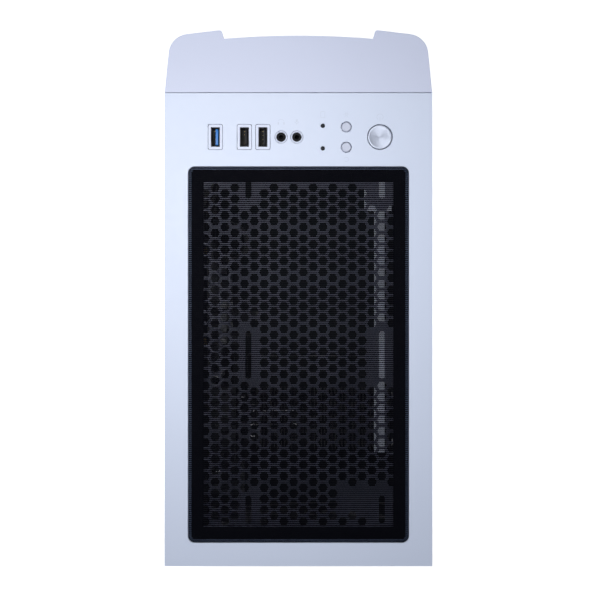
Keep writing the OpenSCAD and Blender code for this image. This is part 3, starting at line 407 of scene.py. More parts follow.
def add_lathe(mesh, profile, centre, axis="Z", segments=32):
    """A surface of revolution from (radius, height) points, closed where a radius is 0."""
    rings = []
    for radius, height in profile:
        ring = []
        for k in range(1 if radius < 1e-7 else segments):
            a = TAU * k / segments
            u, v = radius * math.cos(a), radius * math.sin(a)
            offset = {"Z": (u, v, height), "Y": (v, height, u), "X": (height, u, v)}[axis]
            ring.append(mesh.verts.new(Vector(centre) + Vector(offset)))
        rings.append(ring)
    for one, two in zip(rings, rings[1:]):
        for k in range(segments):
            n = (k + 1) % segments
            loop = [one[k % len(one)], one[n % len(one)], two[n % len(two)], two[k % len(two)]]
            loop = list(dict.fromkeys(loop))
            if len(loop) > 2:
                mesh.faces.new(loop)


def boxes(name, corner_pairs, material, body, slot, bevel=0.3 * MM, **finish):
    mesh = bmesh.new()
    for lo, hi in corner_pairs:
        add_box(mesh, lo, hi)
    return from_bmesh(name, mesh, material, body, slot, bevel=bevel, **finish)


def lathes(name, items, material, body, slot, **finish):
    """Several surfaces of revolution as one piece: (profile, centre, axis) each."""
    mesh = bmesh.new()
    for profile, centre, axis in items:
        add_lathe(mesh, profile, centre, axis)
    return from_bmesh(name, mesh, material, body, slot, **finish)


def smooth_path(points):
    """Catmull-Rom curve through points."""
    points = [Vector(p) for p in points]
    last = len(points) - 1
    path = []
    for i in range(last):
        a, b, c, d = (points[max(0, min(last, i + k))] for k in (-1, 0, 1, 2))
        for s in range(ARC_STEPS):
            t = s / ARC_STEPS
            square, cube = 2 * a - 5 * b + 4 * c - d, 3 * b - a - 3 * c + d
            path.append(0.5 * (2 * b + (c - a) * t + square * t ** 2 + cube * t ** 3))
    return path + [points[-1]]


def add_tube(mesh, path, radius, sides=8):
    """A round tube along a path, closed at both ends."""
    rings = []
    side = None
    for i, point in enumerate(path):
        along = (path[min(i + 1, len(path) - 1)] - path[max(i - 1, 0)]).normalized()
        if side is None:
            side = along.orthogonal().normalized()
        side = (side - along * side.dot(along)).normalized()
        other = along.cross(side)
        angles = [TAU * k / sides for k in range(sides)]
        ring = [point + radius * (math.cos(a) * side + math.sin(a) * other) for a in angles]
        rings.append([mesh.verts.new(p) for p in ring])
    for one, two in zip(rings, rings[1:]):
        for k in range(sides):
            mesh.faces.new((one[k], one[(k + 1) % sides], two[(k + 1) % sides], two[k]))
    mesh.faces.new(rings[0][::-1])
    mesh.faces.new(rings[-1])


def tubes(name, paths, radius, material, body, slot, sides=8):
    mesh = bmesh.new()
    for path in paths:
        add_tube(mesh, path, radius, sides)
    return from_bmesh(name, mesh, material, body, slot, split=60)


def rounded_outline(x0, x1, y0, y1, radius):
    """Points round a rectangle with rounded corners, anticlockwise."""
    corners = ((x1, y1, 0), (x0, y1, 90), (x0, y0, 180), (x1, y0, 270))
    points = []
    for x, y, start in corners:
        cx = x - radius if x == x1 else x + radius
        cy = y - radius if y == y1 else y + radius
        for k in range(ARC_STEPS + 1):
            a = math.radians(start + 90 * k / ARC_STEPS)
            points.append((cx + radius * math.cos(a), cy + radius * math.sin(a)))
    return points


def add_ring(mesh, outer, inner, place, depth):
    """A flat ring between two outlines of as many points; place turns (u, v, height) into a point."""
    levels = ((outer, 0), (outer, depth), (inner, depth), (inner, 0))
    loops = [[mesh.verts.new(place(u, v, h)) for u, v in outline] for outline, h in levels]
    count = len(outer)
    for one, two in zip(loops, loops[1:] + loops[:1]):
        for k in range(count):
            n = (k + 1) % count
            mesh.faces.new((one[k], one[n], two[n], two[k]))


def clipped(outline, start, along):
    """The stretch of a line inside a convex anticlockwise outline, or None."""
    low, high = -10.0, 10.0
    for k, (ax, ay) in enumerate(outline):
        bx, by = outline[(k + 1) % len(outline)]
        nx, ny = ay - by, bx - ax
        speed = nx * along[0] + ny * along[1]
        depth = nx * (start[0] - ax) + ny * (start[1] - ay)
        if abs(speed) < 1e-12:
            if depth < 0:
                return None
            continue
        t = -depth / speed
        if speed > 0:
            low = max(low, t)
        else:
            high = min(high, t)
    return (low, high) if high - low > 1e-4 else None


def add_strands(mesh, outline, weave, place, depth):
    """Two crossing families of flat strands filling an outline, along u then v.

    weave is (pitch, width) of each.
    """
    us, vs = [p[0] for p in outline], [p[1] for p in outline]
    mid = Vector(((min(us) + max(us)) / 2, (min(vs) + max(vs)) / 2))
    reach = max(max(us) - min(us), max(vs) - min(vs)) / 2
    for family, (pitch, width) in enumerate(weave):
        along = Vector((1 - family, family))
        across = Vector((family, 1 - family))
        h0, h1 = family * depth * 0.45, family * depth * 0.45 + depth * 0.55
        count = int(reach / pitch) + 1
        for k in range(-count, count + 1):
            start = mid + across * k * pitch
            span = clipped(outline, start, along)
            if span is None:
                continue
            ends = [start + along * t for t in span]
            half = across * width / 2
            flat = [ends[0] - half, ends[1] - half, ends[1] + half, ends[0] + half]
            low = [mesh.verts.new(place(p[0], p[1], h0)) for p in flat]
            top = [mesh.verts.new(place(p[0], p[1], h1)) for p in flat]
            mesh.faces.new(low[::-1])
            mesh.faces.new(top)
            for i in range(4):
                mesh.faces.new((low[i], low[(i + 1) % 4], top[(i + 1) % 4], top[i]))


OWN_TONE = {"front_bezel": "bezel_white", "top_frame": "top_steel", "port_frames": "frame_white"}


def dress(node):
    """A CAD node that stays, in its record slot's material or a tone of its own."""
    material = EXTRA[OWN_TONE[node]] if node in OWN_TONE else PAINTS[SLOT[node]]
    finish_mesh(NODES[node], material, None, SLOT[node], split=0)


def centre_of(node):
    lo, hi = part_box(node)
    return (lo + hi) / 2


# ---------- Camera, floor and light ----------


CAMERA_RISE = 1.5
PICTURE_WIDTH = 0.4704


def make_camera():
    """Straight down on the top, with the front towards the picture's top edge."""
    camera = bpy.data.objects.new("camera", bpy.data.cameras.new("camera"))
    camera.data.sensor_width = 36
    camera.data.lens = 36 * CAMERA_RISE / PICTURE_WIDTH
    camera.data.clip_start = 0.01
    camera.location = (-1.2 * MM, 1.8 * MM, CASE_TOP + CAMERA_RISE)
    camera.rotation_euler = (0, 0, math.pi)
    bpy.context.scene.collection.objects.link(camera)
    bpy.context.scene.camera = camera


def area_light(name, at, aim, size, power):
    data = bpy.data.lights.new(name, "AREA")
    data.shape = "DISK"
    data.size = size
    data.energy = power
    light = bpy.data.objects.new(name, data)
    light.location = at
    light.rotation_euler = (Vector(aim) - Vector(at)).to_track_quat("-Z", "Y").to_euler()
    bpy.context.scene.collection.objects.link(light)


def make_stage():
    p = Paint("floor_paper", (0.93, 0.93, 0.93), 0.9)
    p.shader.inputs["Emission Color"].default_value = (1, 1, 1, 1)
    p.shader.inputs["Emission Strength"].default_value = 0.79
    p.bump(p.noise(3 * MM, 3), 20e-6)
    mesh = bmesh.new()
    bmesh.ops.create_grid(mesh, x_segments=8, y_segments=8, size=6)
    floor = from_bmesh("floor", mesh, p.material, None, None)
    world = bpy.data.worlds.new("soft_sky")
    world.use_nodes = True
    sky = world.node_tree.nodes["Background"]
    sky.inputs["Color"].default_value = (0.86, 0.93, 1.12, 1)
    sky.inputs["Strength"].default_value = 0.155
    bpy.context.scene.world = world
    bpy.context.scene.view_settings.view_transform = "Standard"
    top = Vector((0, 0, CASE_TOP))
    area_light("key", top + Vector((0.115, -0.10, 0.48)), top, 0.3, 2.15)
    for x, y, power in ((-1.2, -0.9, 4.2), (-1.1, 0.9, 4.2), (1.1, 1.0, 4.6), (1.2, -1.0, 4)):
        area_light("side_fill", (x, y, 0.36), (0, 0, 0.22), 0.7, power)


# ---------- Top of the case ----------

FILTER_RIM = 2.6 * MM
FILTER_BAND = 12 * MM
FILTER_CORNER = 5 * MM
FILTER_WEAVE = ((1.54 * MM, 0.7 * MM), (0.77 * MM, 0.38 * MM))
WEAVE_LIFT = 0.04 * MM
SYMBOL_LIFT = 0.006 * MM


def inset(lo, hi, by):
    """The filter's outline, drawn in by a distance."""
    radius = max(0.6 * MM, FILTER_CORNER - by)
    return rounded_outline(lo.x + by, hi.x - by, lo.y + by, hi.y - by, radius)


def make_top_filter():
    """Woven mesh over the magnetic frame's printed band, with a paler bluish rim ring painted as light reflected
    from the cover's edge.
    """
    lo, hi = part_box("filter_mesh")
    flat = lambda u, v, h: Vector((u, v, lo.z + WEAVE_LIFT + h))
    mesh = bmesh.new()
    add_strands(mesh, inset(lo, hi, 0.2 * MM), FILTER_WEAVE, flat, 0.22 * MM)
    weave = from_bmesh("filter_weave", mesh, PAINTS["filter_mesh"], "top_filter", "filter_mesh")
    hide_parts("filter_mesh")
    under = lambda u, v, h: Vector((u, v, lo.z + h))
    # The rim ring's bluish tone is a painted reflection of light from the cover's edge.
    for name, material, outer, inner in (
            ("filter_print", PAINTS["filter_band"], FILTER_RIM, FILTER_BAND),
            ("filter_rim_reflection", EXTRA["filter_rim_reflection"], 0.25 * MM, FILTER_RIM)):
        mesh = bmesh.new()
        add_ring(mesh, inset(lo, hi, outer), inset(lo, hi, inner), under, 0.03 * MM)
        from_bmesh(name, mesh, material, "top_filter", "filter_band")
    dress("filter_frame")


def turned_button(node, material, dish=0.0):
    """A button cap with a rounded lip, in place of its plain CAD solid."""
    lo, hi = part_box(node)
    centre = centre_of(node)
    flange = (hi.x - lo.x) / 2
    r = flange - 1.2 * MM
    top = hi.z
    neck = lo.z + 0.45 * (top - lo.z)
    profile = [(0, top - dish)]
    profile += [(r * f, top - dish * (1 - f * f)) for f in (0.3, 0.6, 0.85)]
    profile += [(r - 0.65 * MM, top), (r - 0.3 * MM, top - 0.08 * MM), (r - 0.08 * MM, top - 0.3 * MM)]
    profile += [(r, top - 0.6 * MM), (r, neck + 1.2 * MM), (flange, neck + 1.15 * MM), (flange, neck)]
    profile += [(1.5 * MM, neck), (1.5 * MM, lo.z + 0.2 * MM), (1.3 * MM, lo.z), (0, lo.z)]
    mesh = bmesh.new()
    add_lathe(mesh, profile, (centre.x, centre.y, 0), segments=96)
    cap = from_bmesh(node + "_cap", mesh, material, node, SLOT[node])
    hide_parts(node)


def make_buttons():
    centre = centre_of("power_button")
    power_face = turned("power_face", (0.47, 0.51, 0.61), (centre.x, centre.y))
    turned_button("power_button", power_face, 0.25 * MM)
    for node in ("reset_button", "light_button"):
        turned_button(node, PAINTS["small_button"], 0.05 * MM)


def socket_contacts(name, tongues, material):
    """Sprung contacts on the sockets' tongues: (low corner, high corner, count) of each tongue."""
    pairs = []
    for lo, hi, count in tongues:
        for k in range(count):
            y = lo.y + (hi.y - lo.y) * (k + 0.5) / count
            corner = (hi.x + 0.12 * MM, y + 0.5 * MM, hi.z - 1.2 * MM)
            pairs.append(((hi.x - 0.02 * MM, y - 0.5 * MM, lo.z), corner))
    boxes(name, pairs, material, "chassis", "usb3_socket", bevel=0.04 * MM)


def make_sockets():
    """Coloured tongues over the plain ones, with gold contacts. The shells stay as CAD."""
    for node in ("usb3_port", "usb2_ports", "audio_jacks", "led_lenses", "port_frames", "io_board"):
        dress(node)
    lo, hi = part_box("usb3_port")
    mid_y = (lo.y + hi.y) / 2
    sockets = [((lo.x + hi.x) / 2, EXTRA["blue_tongue"], "blue_tongue", "usb3_socket")]
    lo2, hi2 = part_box("usb2_ports")
    half = (hi.x - lo.x) / 2
    for k, x in enumerate((lo2.x + half, hi2.x - half)):
        sockets.append((x, EXTRA["dark_tongue"], f"dark_tongue_{k}", "usb2_socket"))
    contacts = []
    for x, material, name, slot in sockets:
        a = Vector((x - 2.30 * MM, mid_y - 6.2 * MM, lo.z + 2.2 * MM))
        b = Vector((x - 0.10 * MM, mid_y + 6.2 * MM, hi.z - 1.2 * MM))
        boxes(name, [(a, b)], material, "chassis", slot, bevel=0.3 * MM)
        contacts.append((a, b, 4))
    socket_contacts("socket_contacts", contacts, EXTRA["gold"])


def stroke(mesh, points, width, height):
    """A flat line through points, each (x, y)."""
    points = [Vector(p) for p in points]
    left, right = [], []
    for i, p in enumerate(points):
        along = (points[min(i + 1, len(points) - 1)] - points[max(i - 1, 0)]).normalized()
        side = Vector((-along.y, along.x)) * width / 2
        left.append(mesh.verts.new((*(p + side), height)))
        right.append(mesh.verts.new((*(p - side), height)))
    for k in range(len(points) - 1):
        mesh.faces.new((left[k], right[k], right[k + 1], left[k + 1]))


def ring_points(centre, radius, start, end, steps=16):
    angles = [math.radians(start + (end - start) * k / steps) for k in range(steps + 1)]
    return [(centre[0] + radius * math.cos(a), centre[1] + radius * math.sin(a)) for a in angles]


def make_symbols():
    """Faint embossed symbols beside the sockets, lenses and buttons: plain, common shapes, drawn as flat strokes a
    shade darker than the cover as painted shade for their relief.
    """
    top = CASE_TOP + SYMBOL_LIFT
    jacks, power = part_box("audio_jacks"), centre_of("power_button")
    leds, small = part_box("led_lenses"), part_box("light_button")
    row = (jacks[0].y + jacks[1].y) / 2 - 11.6 * MM
    mesh = bmesh.new()
    line = 0.4 * MM
    ear = (jacks[1].x - 5 * MM, row)
    stroke(mesh, ring_points(ear, 2.3 * MM, 200, 340), line, top)
    for s in (-1, 1):
        stroke(mesh, [(ear[0] + s * 2.2 * MM, row), (ear[0] + s * 2.2 * MM, row + 1.9 * MM)], 1.1 * MM, top)
    mic = (jacks[0].x + 5 * MM, row)
    stroke(mesh, [(mic[0], row - 2.2 * MM), (mic[0], row)], 1.3 * MM, top)
    stroke(mesh, ring_points((mic[0], row - 0.6 * MM), 1.5 * MM, 0, 180), line, top)
    stroke(mesh, [(mic[0], row + 0.9 * MM), (mic[0], row + 2.1 * MM)], line, top)
    disk = ((leds[0].x + leds[1].x) / 2, leds[0].y - 6.2 * MM)
    wide, high = 1.6 * MM, 2.4 * MM
    for x in (disk[0] - wide, disk[0] + wide):
        stroke(mesh, [(x, disk[1] - high), (x, disk[1] + high)], line, top)
    for y in (disk[1] - high, disk[1] + high):
        stroke(mesh, [(disk[0] - wide, y), (disk[0] + wide, y)], line, top)
    lamp = ((small[0].x + small[1].x) / 2, small[0].y - 5 * MM)
    stroke(mesh, ring_points(lamp, 0.9 * MM, 0, 360), line, top)
    for a in range(0, 360, 60):
        spoke = [ring_points(lamp, r * MM, a, a, 1)[0] for r in (1.5, 2.2)]
        stroke(mesh, spoke, line, top)
    again = (lamp[0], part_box("reset_button")[1].y + 4.6 * MM)
    stroke(mesh, ring_points(again, 1.7 * MM, 40, 330), line, top)
    sign = (power.x, power.y - 15.6 * MM)
    stroke(mesh, ring_points(sign, 2.5 * MM, 130, 410), line, top)
    stroke(mesh, [(sign[0], sign[1] + 0.3 * MM), (sign[0], sign[1] + 3.0 * MM)], line, top)
    # The symbols' darker grey is painted shade for their embossed relief.
    from_bmesh("symbol_shade_strokes", mesh, EXTRA["symbol_shade_grey"], "chassis", "white_plastic")


# ---------- Fans ----------


FAN_HALF = 59.8 * MM
HUB_RADIUS = 19.5 * MM
BLADE_THICKNESS = 1.3 * MM


def add_blade(mesh, centre, axis, turn, inner, outer, span):
    """One curved fan blade, lofted from the hub to the tip. span is its (start, end) along the axis."""
    steps = chords = 7
    grid = []
    for i in range(steps):
        t = i / (steps - 1)
        radius = inner + (outer - inner) * t
        width = math.radians(46 + 6 * t)
        lead = turn + math.radians(20) * t * t
        row = []
        for j in range(chords):
            s = j / (chords - 1)
            a = lead + width * (s - 0.5)
            rise = span[0] + (span[1] - span[0]) * (0.5 + (s - 0.5) * (1 - 0.35 * t))
            rise += 1.2 * MM * math.sin(math.pi * s)
            row.append((radius, a, rise))
        grid.append(row)
    sheets = []
    for side in (-0.5, 0.5):
        sheet = []
        for row in grid:
            line = []
            for radius, a, rise in row:
                u, v, h = radius * math.cos(a), radius * math.sin(a), rise + side * BLADE_THICKNESS
                offset = {"Y": (v, h, u), "Z": (u, v, h)}[axis]
                line.append(mesh.verts.new(Vector(centre) + Vector(offset)))
            sheet.append(line)
        sheets.append(sheet)
    low, top = sheets
    for i in range(steps - 1):
        for j in range(chords - 1):
            mesh.faces.new((low[i][j], low[i][j + 1], low[i + 1][j + 1], low[i + 1][j]))
            mesh.faces.new((top[i][j], top[i + 1][j], top[i + 1][j + 1], top[i][j + 1]))
    border = [(i, 0) for i in range(steps)] + [(steps - 1, j) for j in range(1, chords)]
    border += [(i, chords - 1) for i in range(steps - 2, -1, -1)]
    border += [(0, j) for j in range(chords - 2, 0, -1)]
    for (i, j), (k, l) in zip(border, border[1:] + border[:1]):
        mesh.faces.new((low[i][j], top[i][j], top[k][l], low[k][l]))


def make_rotor(node, axis="Y", blades=7):
    """Hub with a moulded rim and curved blades, in place of the CAD rotor."""
    joint = next(j for j in frame["joints"] if j["child"] == BODY[node])
    centre = Vector(joint["pos_m"])
    lo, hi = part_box(node)
    up = "XYZ".index(axis)
    start, end = lo[up] - centre[up], hi[up] - centre[up]
    back = end - 3 * MM
    outer = (hi.x - lo.x) / 2 - 0.6 * MM
    hub = HUB_RADIUS
    profile = [(0, start), (12 * MM, start), (12.4 * MM, start + 0.3 * MM), (12.9 * MM, start + 0.3 * MM)]
    profile += [(13.3 * MM, start), (hub - 2 * MM, start + 0.1 * MM), (hub - 0.5 * MM, start + 0.8 * MM)]
    profile += [(hub, start + 2.4 * MM), (hub, back), (1.5 * MM, back), (1.5 * MM, end), (0, end)]
    mesh = bmesh.new()
    add_lathe(mesh, profile, centre, axis, 64)
    span = (start + 2.5 * MM, back - 1.5 * MM)
    for k in range(blades):
        add_blade(mesh, centre, axis, TAU * k / blades, hub - 0.6 * MM, outer, span)
    rotor = from_bmesh(node + "_blades", mesh, PAINTS["rotor_plastic"], BODY[node], SLOT[node])
    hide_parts(node)


def fan_trim(name, centre, front, back):
    """Soft corner pads on both faces of a fan, with a round boss on each."""
    mesh = bmesh.new()
    size = 15 * MM
    boss = [(0, 0), (3.4 * MM, 0), (3.4 * MM, 0.15 * MM), (0, 0.15 * MM)]
    for y, out in ((front, -1), (back, 1)):
        for sx in (-1, 1):
            for sz in (-1, 1):
                x0 = centre[0] + sx * (FAN_HALF - 1 * MM)
                z0 = centre[1] + sz * (FAN_HALF - 1 * MM)
                x1, z1 = x0 - sx * size, z0 - sz * size
                below, above = (0.05, 0.12) if out > 0 else (0.12, 0.05)
                lo = (min(x0, x1), y - below * MM, min(z0, z1))
                hi = (max(x0, x1), y + above * MM, max(z0, z1))
                add_box(mesh, lo, hi)
                seat = y - (0.15 * MM if out < 0 else 0)
                add_lathe(mesh, boss, ((x0 + x1) / 2, seat, (z0 + z1) / 2), "Y", 20)
    from_bmesh(name, mesh, EXTRA["grommet"], "chassis", "fan_plastic", bevel=0.04 * MM)


def make_fans():
    for node in ("upper_fan_rotor", "lower_fan_rotor", "rear_fan_rotor", "cpu_fan_rotor"):
        make_rotor(node)
    make_rotor("psu_fan_rotor", "Z", 9)
    for node in ("front_fan_frames", "rear_fan_frame", "cpu_fan_frame"):
        dress(node)
    for name, node in (("cooler_fan_pads", "cpu_fan_frame"), ("rear_fan_pads", "rear_fan_frame")):
        lo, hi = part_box(node)
        fan_trim(name, ((lo.x + hi.x) / 2, (lo.z + hi.z) / 2), lo.y, hi.y)
    lo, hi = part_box("front_fan_frames")
    for k, z in enumerate((lo.z + FAN_HALF, hi.z - FAN_HALF)):
        fan_trim(f"front_fan_pads_{k}", ((lo.x + hi.x) / 2, z), lo.y, hi.y)


# ---------- Inside ----------


TRAY_SLOT_HEIGHTS = (150, 230, 322)


def on_board(y, z, wide, high, rise, base=0.0):
    """Box standing on the board's face, centred at y and z. All in mm."""
    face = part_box("motherboard")[0].x / MM
    lo = Vector((face - rise, y - wide / 2, z - high / 2)) * MM
    return lo, Vector((face - base, y + wide / 2, z + high / 2)) * MM


def cans(places, radius, rise):
    """Upright cylinders on the board with a rolled rim, as lathe items."""
    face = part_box("motherboard")[0].x
    r, h = radius * MM, -rise * MM
    profile = [(0, h + 0.25 * MM), (r * 0.8, h + 0.25 * MM), (r * 0.85, h), (r * 0.97, h)]
    profile += [(r, h + 0.3 * MM)]
    profile += [(r, -1.6 * MM), (r * 0.9, -1.3 * MM), (r, -1 * MM), (r, 0)]
    return [(profile, (face, y * MM, z * MM), "X") for y, z in places]


def make_board_parts():
    """Chokes, capacitors, chips, screws and latches of the motherboard."""
    rear_row = [(132.5, 303 + 11.5 * k) for k in range(9)]
    top_row = [(78 + 11.5 * k, 395.5) for k in range(5)]
    chokes = [on_board(y, z, 9, 9.5, 6.5) for y, z in rear_row + top_row]
    boxes("chokes", chokes, EXTRA["choke"], "chassis", "slot_plastic", 0.7 * MM)
    marks = [on_board(y, z, 4.6, 4.6, 6.6, 6.5) for y, z in rear_row + top_row]
    boxes("choke_marks", marks, EXTRA["print_white"], "chassis", "slot_plastic", 0)
    tall = [(62, 330), (62, 340), (62, 350), (62, 372), (62, 382), (140, 414), (64, 414), (64, 404)]
    tall += [(186, 142), (186, 151), (176, 142), (176, 151), (186, 172), (-34, 286), (-24, 286)]
    lathes("capacitors", cans(tall, 3.1, 8.5), EXTRA["capacitor"], "chassis", "board_heatsink")
    chips = [(-16, 230, 14, 14), (184, 228, 9, 9), (184, 205, 7, 7), (12, 232, 10, 6), (160, 240, 12, 7)]
    chips += [(-30, 262, 8, 5), (-34, 180, 6, 8), (150, 168, 6, 6), (28, 236, 6, 4), (48, 262, 5, 5)]
    chips += [(92 + 9 * k, 188, 4, 3) for k in range(5)] + [(60, 306 + 5 * k, 3, 2) for k in range(4)]
    chips = [on_board(y, z, w, h, 1.3) for y, z, w, h in chips]
    boxes("chips", chips, EXTRA["chip"], "chassis", "slot_plastic", 0.15 * MM)
    spots = [(random.uniform(-40, 195), random.uniform(138, 292)) for _ in range(150)]
    specks = [on_board(y, z, 1.6, 0.8, 0.7) for y, z in spots]
    boxes("resistors", specks, EXTRA["label_silver"], "chassis", "slot_plastic", 0)
    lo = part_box("motherboard")[0]
    heads = []
    profile = [(0, -1.3), (1.0, -1.3), (1.2, -1.9), (2.4, -1.9), (3.1, -1.2), (3.1, 0)]
    profile = [(r * MM, h * MM) for r, h in profile]
    for y in (-37, 35, 189):
        heads += [(profile, (lo.x, y * MM, z * MM), "X") for z in (134, 276, 425)]
    lathes("board_screws", heads, PAINTS["screw_steel"], "chassis", "screw_steel")
    rows = (34, 24.6, 15.2, 5.8)
    ends = [on_board(y, z, 6.2, 6, 13, 8.1) for y in rows for z in (272.5, 417.5)]
    boxes("memory_latches", ends, EXTRA["print_white"], "chassis", "slot_plastic", 0.5 * MM)
    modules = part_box("ram_modules")
    near, far = modules[0].x - 1.4 * MM, modules[0].x + 0.2 * MM
    low, high = modules[0].z, modules[1].z
    bars = [((near, (y - 2.6) * MM, low), (far, (y + 2.6) * MM, high)) for y in (34, 15.2)]
    boxes("memory_light_bars", bars, EXTRA["bar_lens"], "chassis", "ram_spreader", 0.8 * MM)
    # Thin black strips laid on the heatsinks: painted shade where their grooves would be.
    lines = [on_board(-2, z, 40, 1.1, 9.12, 9) for z in (160, 164, 168, 182, 186)]
    lines += [on_board(94, z, 84, 0.9, 7.12, 7) for z in (208, 211, 221)]
    boxes("heatsink_groove_shade", lines, EXTRA["border_black"], "chassis", "board_heatsink", 0)


def make_cooler_parts():
    """End plate, screws and fan clips of the cooler."""
    lo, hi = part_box("heatsink_fins")
    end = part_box("heat_pipes")[0].x
    near = (end - 2.2 * MM, lo.y + 0.6 * MM, lo.z + 0.6 * MM)
    far = (end - 0.4 * MM, hi.y - 0.6 * MM, hi.z - 0.6 * MM)
    boxes("cooler_plate", [(near, far)], EXTRA["plate_black"], "chassis", "fin_aluminium", 0.5 * MM)
    sides = []
    for y in (lo.y + 0.8 * MM, hi.y - 2 * MM):
        far = (lo.x + 0.3 * MM, y + 1.2 * MM, hi.z - 4 * MM)
        sides.append(((end - 0.5 * MM, y, lo.z + 4 * MM), far))
    boxes("cooler_plate_sides", sides, EXTRA["plate_black"], "chassis", "fin_aluminium", 0.2 * MM)
    profile = [(0, 0.3), (1.1, 0.3), (1.2, 0), (2.2, 0), (2.5, 0.5), (2.5, 1.2)]
    profile = [(r * MM, h * MM) for r, h in profile]
    at = [(y, z) for y in (lo.y + 6 * MM, hi.y - 6 * MM) for z in (lo.z + 6 * MM, hi.z - 6 * MM)]
    heads = [(profile, (end - 2.9 * MM, y, z), "X") for y, z in at]
    lathes("cooler_screws", heads, PAINTS["wire_chrome"], "chassis", "pipe_nickel")
    fan_lo, fan_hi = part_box("cpu_fan_frame")
    wires = []
    for z, lean in ((fan_lo.z + 8 * MM, 3 * MM), (fan_hi.z - 8 * MM, -3 * MM)):
        for x in (fan_lo.x - 0.4 * MM, fan_hi.x + 0.4 * MM):
            ends = [(x, fan_lo.y + 3 * MM, z), (x, fan_hi.y, z), (x, hi.y - 14 * MM, z + lean)]
            wires.append(smooth_path(ends))
    tubes("fan_clips", wires, 0.7 * MM, PAINTS["wire_chrome"], "chassis", "wire_chrome")


def make_leads():
    """Fan leads, and sleeved wires in place of the plain cable tubes."""
    p = lambda *route: smooth_path([Vector(q) * MM for q in route])
    leads = [
        p((-76, 60, 405), (-72, 66, 418), (-30, 60, 431), (30, 60, 432), (60, 66, 430), (68, 72, 427)),
        p((-84, 178, 424), (-60, 170, 434), (0, 166, 435), (50, 168, 434), (68, 165, 428)),
        p((55, -136, 315), (66, -110, 318), (74, -88, 322), (84, -66, 322)),
        p((55, -136, 190), (66, -110, 215), (74, -88, 228), (84, -66, 230)),
    ]
    tubes("fan_leads", leads, 1.3 * MM, EXTRA["wire_black"], "chassis", "cable_sleeve")
    main = [(44, 60.8, 70), (44, 50, 70), (56, 36, 72), (78, 22, 78), (90, 4, 92), (91, -10, 120)]
    main += [(91, -30, 200), (91, -56, 290), (87, -64, 318), (76, -65, 322), (62, -64, 322)]
    main += [(49, -58, 322), (45, -46, 322), (49, -38, 322), (55.8, -36.5, 322)]
    cpu = [(38, 60.8, 60), (38, 52, 60), (56, 44, 62), (82, 40, 72), (92, 46, 104), (93, 86, 200)]
    cpu += [(93, 130, 340), (92, 150, 420), (88, 152, 436), (78, 152, 440), (60, 151, 440)]
    cpu += [(49, 150, 436), (46, 150, 429), (49, 150, 424.5), (55.8, 150, 424)]
    for node, route, count, axis, pitch, start in (
        ("main_power_cable", main, 12, 2, 3.9, 8), ("cpu_power_cable", cpu, 4, 1, 4.2, 9)):
        for half, tone in ((0, "wire_grey"), (1, "wire_black")):
            paths = []
            for k in range(count):
                shift = (k - (count - 1) / 2) * pitch
                points = []
                for i, q in enumerate(route):
                    q = list(q)
                    spread = 1.0 if i > start + 2 else 0.72 if i > start else 0.28
                    q[axis] += shift * spread
                    q[0] += (1.6 if half else -1.6) * (1.0 if axis == 2 else 0.9)
                    if i == len(route) - 1:
                        q[0] = 56.2
                        q[3 - axis] += 2.0 if half else -2.0
                    points.append(q)
                paths.append(p(*points))
            wires = tubes(f"{node}_{half}", paths, 1.45 * MM, EXTRA[tone], "chassis", "cable_sleeve", 6)
            if half == 0:
                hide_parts(node)


def make_grommets():
    """Rubber edges round the tray's cable slots, and the black border printed on the window."""
    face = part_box("motherboard_tray")[0].x
    mesh = bmesh.new()
    place = lambda u, v, h: Vector((face - h, u, v))
    for z in TRAY_SLOT_HEIGHTS:
        outer = rounded_outline(-77 * MM, -51 * MM, (z - 36) * MM, (z + 36) * MM, 12 * MM)
        inner = rounded_outline(-72.5 * MM, -55.5 * MM, (z - 29.5) * MM, (z + 29.5) * MM, 8 * MM)
        add_ring(mesh, outer, inner, place, 1.4 * MM)
    from_bmesh("grommets", mesh, EXTRA["grommet"], "chassis", "foot_rubber", bevel=0.5 * MM)
    lo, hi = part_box("left_window")
    mesh = bmesh.new()
    inside = lambda u, v, h: Vector((hi.x + h, u, v))
    outer = rounded_outline(lo.y + 1 * MM, hi.y - 1 * MM, lo.z + 1 * MM, hi.z - 1 * MM, 3 * MM)
    inner = rounded_outline(lo.y + 14 * MM, hi.y - 14 * MM, lo.z + 14 * MM, hi.z - 14 * MM, 5 * MM)
    add_ring(mesh, outer, inner, inside, 0.08 * MM)
    from_bmesh("window_border", mesh, EXTRA["border_black"], "left_panel", "window")


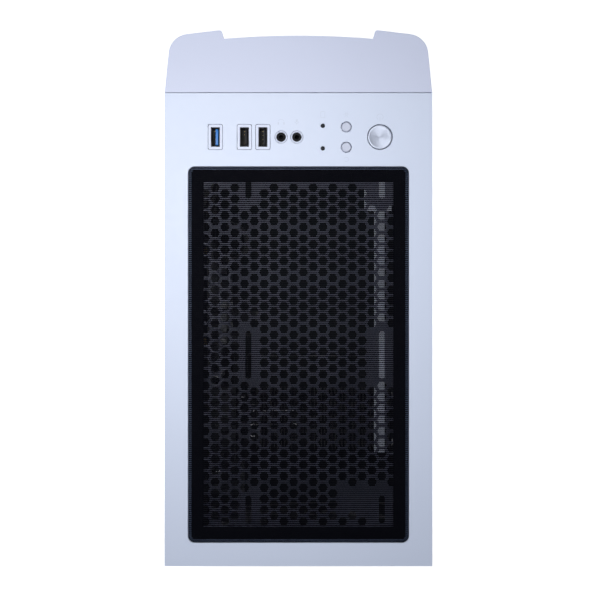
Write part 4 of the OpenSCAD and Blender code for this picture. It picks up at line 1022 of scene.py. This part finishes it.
def make_rear_details():
    """Coloured tongues and rings of the rear sockets, and the network socket's contacts."""
    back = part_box("rear_io_ports")[1].y
    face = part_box("rear_io_ports")[1].x / MM
    rows = ((417, 22, 1, "dark_tongue"), (398, 30, 2, "blue_tongue"), (379, 30, 2, "blue_tongue"),
            (336, 30, 2, "dark_tongue"), (317, 30, 2, "rose_tongue"))
    for z, size, count, tone in rows:
        pairs = []
        for k in range(count):
            x = (face - size * (k + 0.5) / count) * MM
            near = (x - 0.4 * MM, back - 13 * MM, (z - 5.8) * MM)
            pairs.append((near, (x + 1.8 * MM, back - 0.8 * MM, (z + 5.8) * MM)))
        boxes(f"rear_tongues_{z}", pairs, EXTRA[tone], "chassis", "slot_plastic", 0.3 * MM)
    pins = []
    for x in [60.4 + 0.9 * k for k in range(8)]:
        near = (x * MM, back - 12 * MM, 361.6 * MM)
        pins.append((near, ((x + 0.5) * MM, back - 2 * MM, 362.6 * MM)))
    boxes("network_contacts", pins, EXTRA["gold"], "chassis", "brass", 0.1 * MM)
    ring = [(r * MM, h * MM) for r, h in ((2.0, 0), (3.7, 0), (3.7, 0.3), (2.0, 0.3), (2.0, 0))]
    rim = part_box("rear_audio_jacks")
    x = (rim[1].x + rim[0].x) / 2 - 1 * MM
    for z, tone in ((300, "sky"), (288, "mint"), (276, "rose")):
        items = [(ring, (x, rim[1].y, z * MM), "Y")]
        lathes(f"jack_ring_{tone}", items, EXTRA[tone], "chassis", "jack_plastic")


# ---------- Everything else that stays as CAD ----------


SHELLS = (
    "top_cover", "front_bezel", "left_panel", "right_panel", "left_window", "left_thumbscrews",
    "right_thumbscrews", "base_pan", "front_frame", "motherboard_tray", "psu_shroud", "drive_cage",
    "top_frame", "rear_frame", "front_mesh", "feet", "foot_pads", "psu_filter", "light_strip",
)
INSIDE = (
    "motherboard", "standoffs", "cpu_socket", "board_slots", "board_connectors", "rear_screws",
    "board_heatsinks", "ram_modules", "hard_drive", "psu_inlet", "psu_switch", "rear_audio_jacks",
    "rear_io_ports", "io_shield", "slot_covers", "heatsink_fins", "heat_pipes", "psu_case",
    "psu_fan_grille", "front_io_cable",
)


def make_grille_mesh():
    """Fine dust mesh behind the front grille."""
    lo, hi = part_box("front_mesh")
    behind = lambda u, v, h: Vector((lo.x + hi.x - u, hi.y + 0.2 * MM + h, v))
    mesh = bmesh.new()
    outline = rounded_outline(lo.x + 4 * MM, hi.x - 4 * MM, lo.z + 4 * MM, hi.z - 4 * MM, 2 * MM)
    add_strands(mesh, outline, ((2 * MM, 0.7 * MM), (2 * MM, 0.7 * MM)), behind, 0.3 * MM)
    from_bmesh("grille_dust_mesh", mesh, PAINTS["dust_filter"], "front_bezel", "grille_steel")


make_camera()
make_stage()
make_top_filter()
make_buttons()
make_sockets()
make_symbols()
make_fans()
for shell in SHELLS:
    dress(shell)
make_grille_mesh()
for fitting in INSIDE:
    dress(fitting)
make_board_parts()
make_cooler_parts()
make_leads()
make_grommets()
make_rear_details()
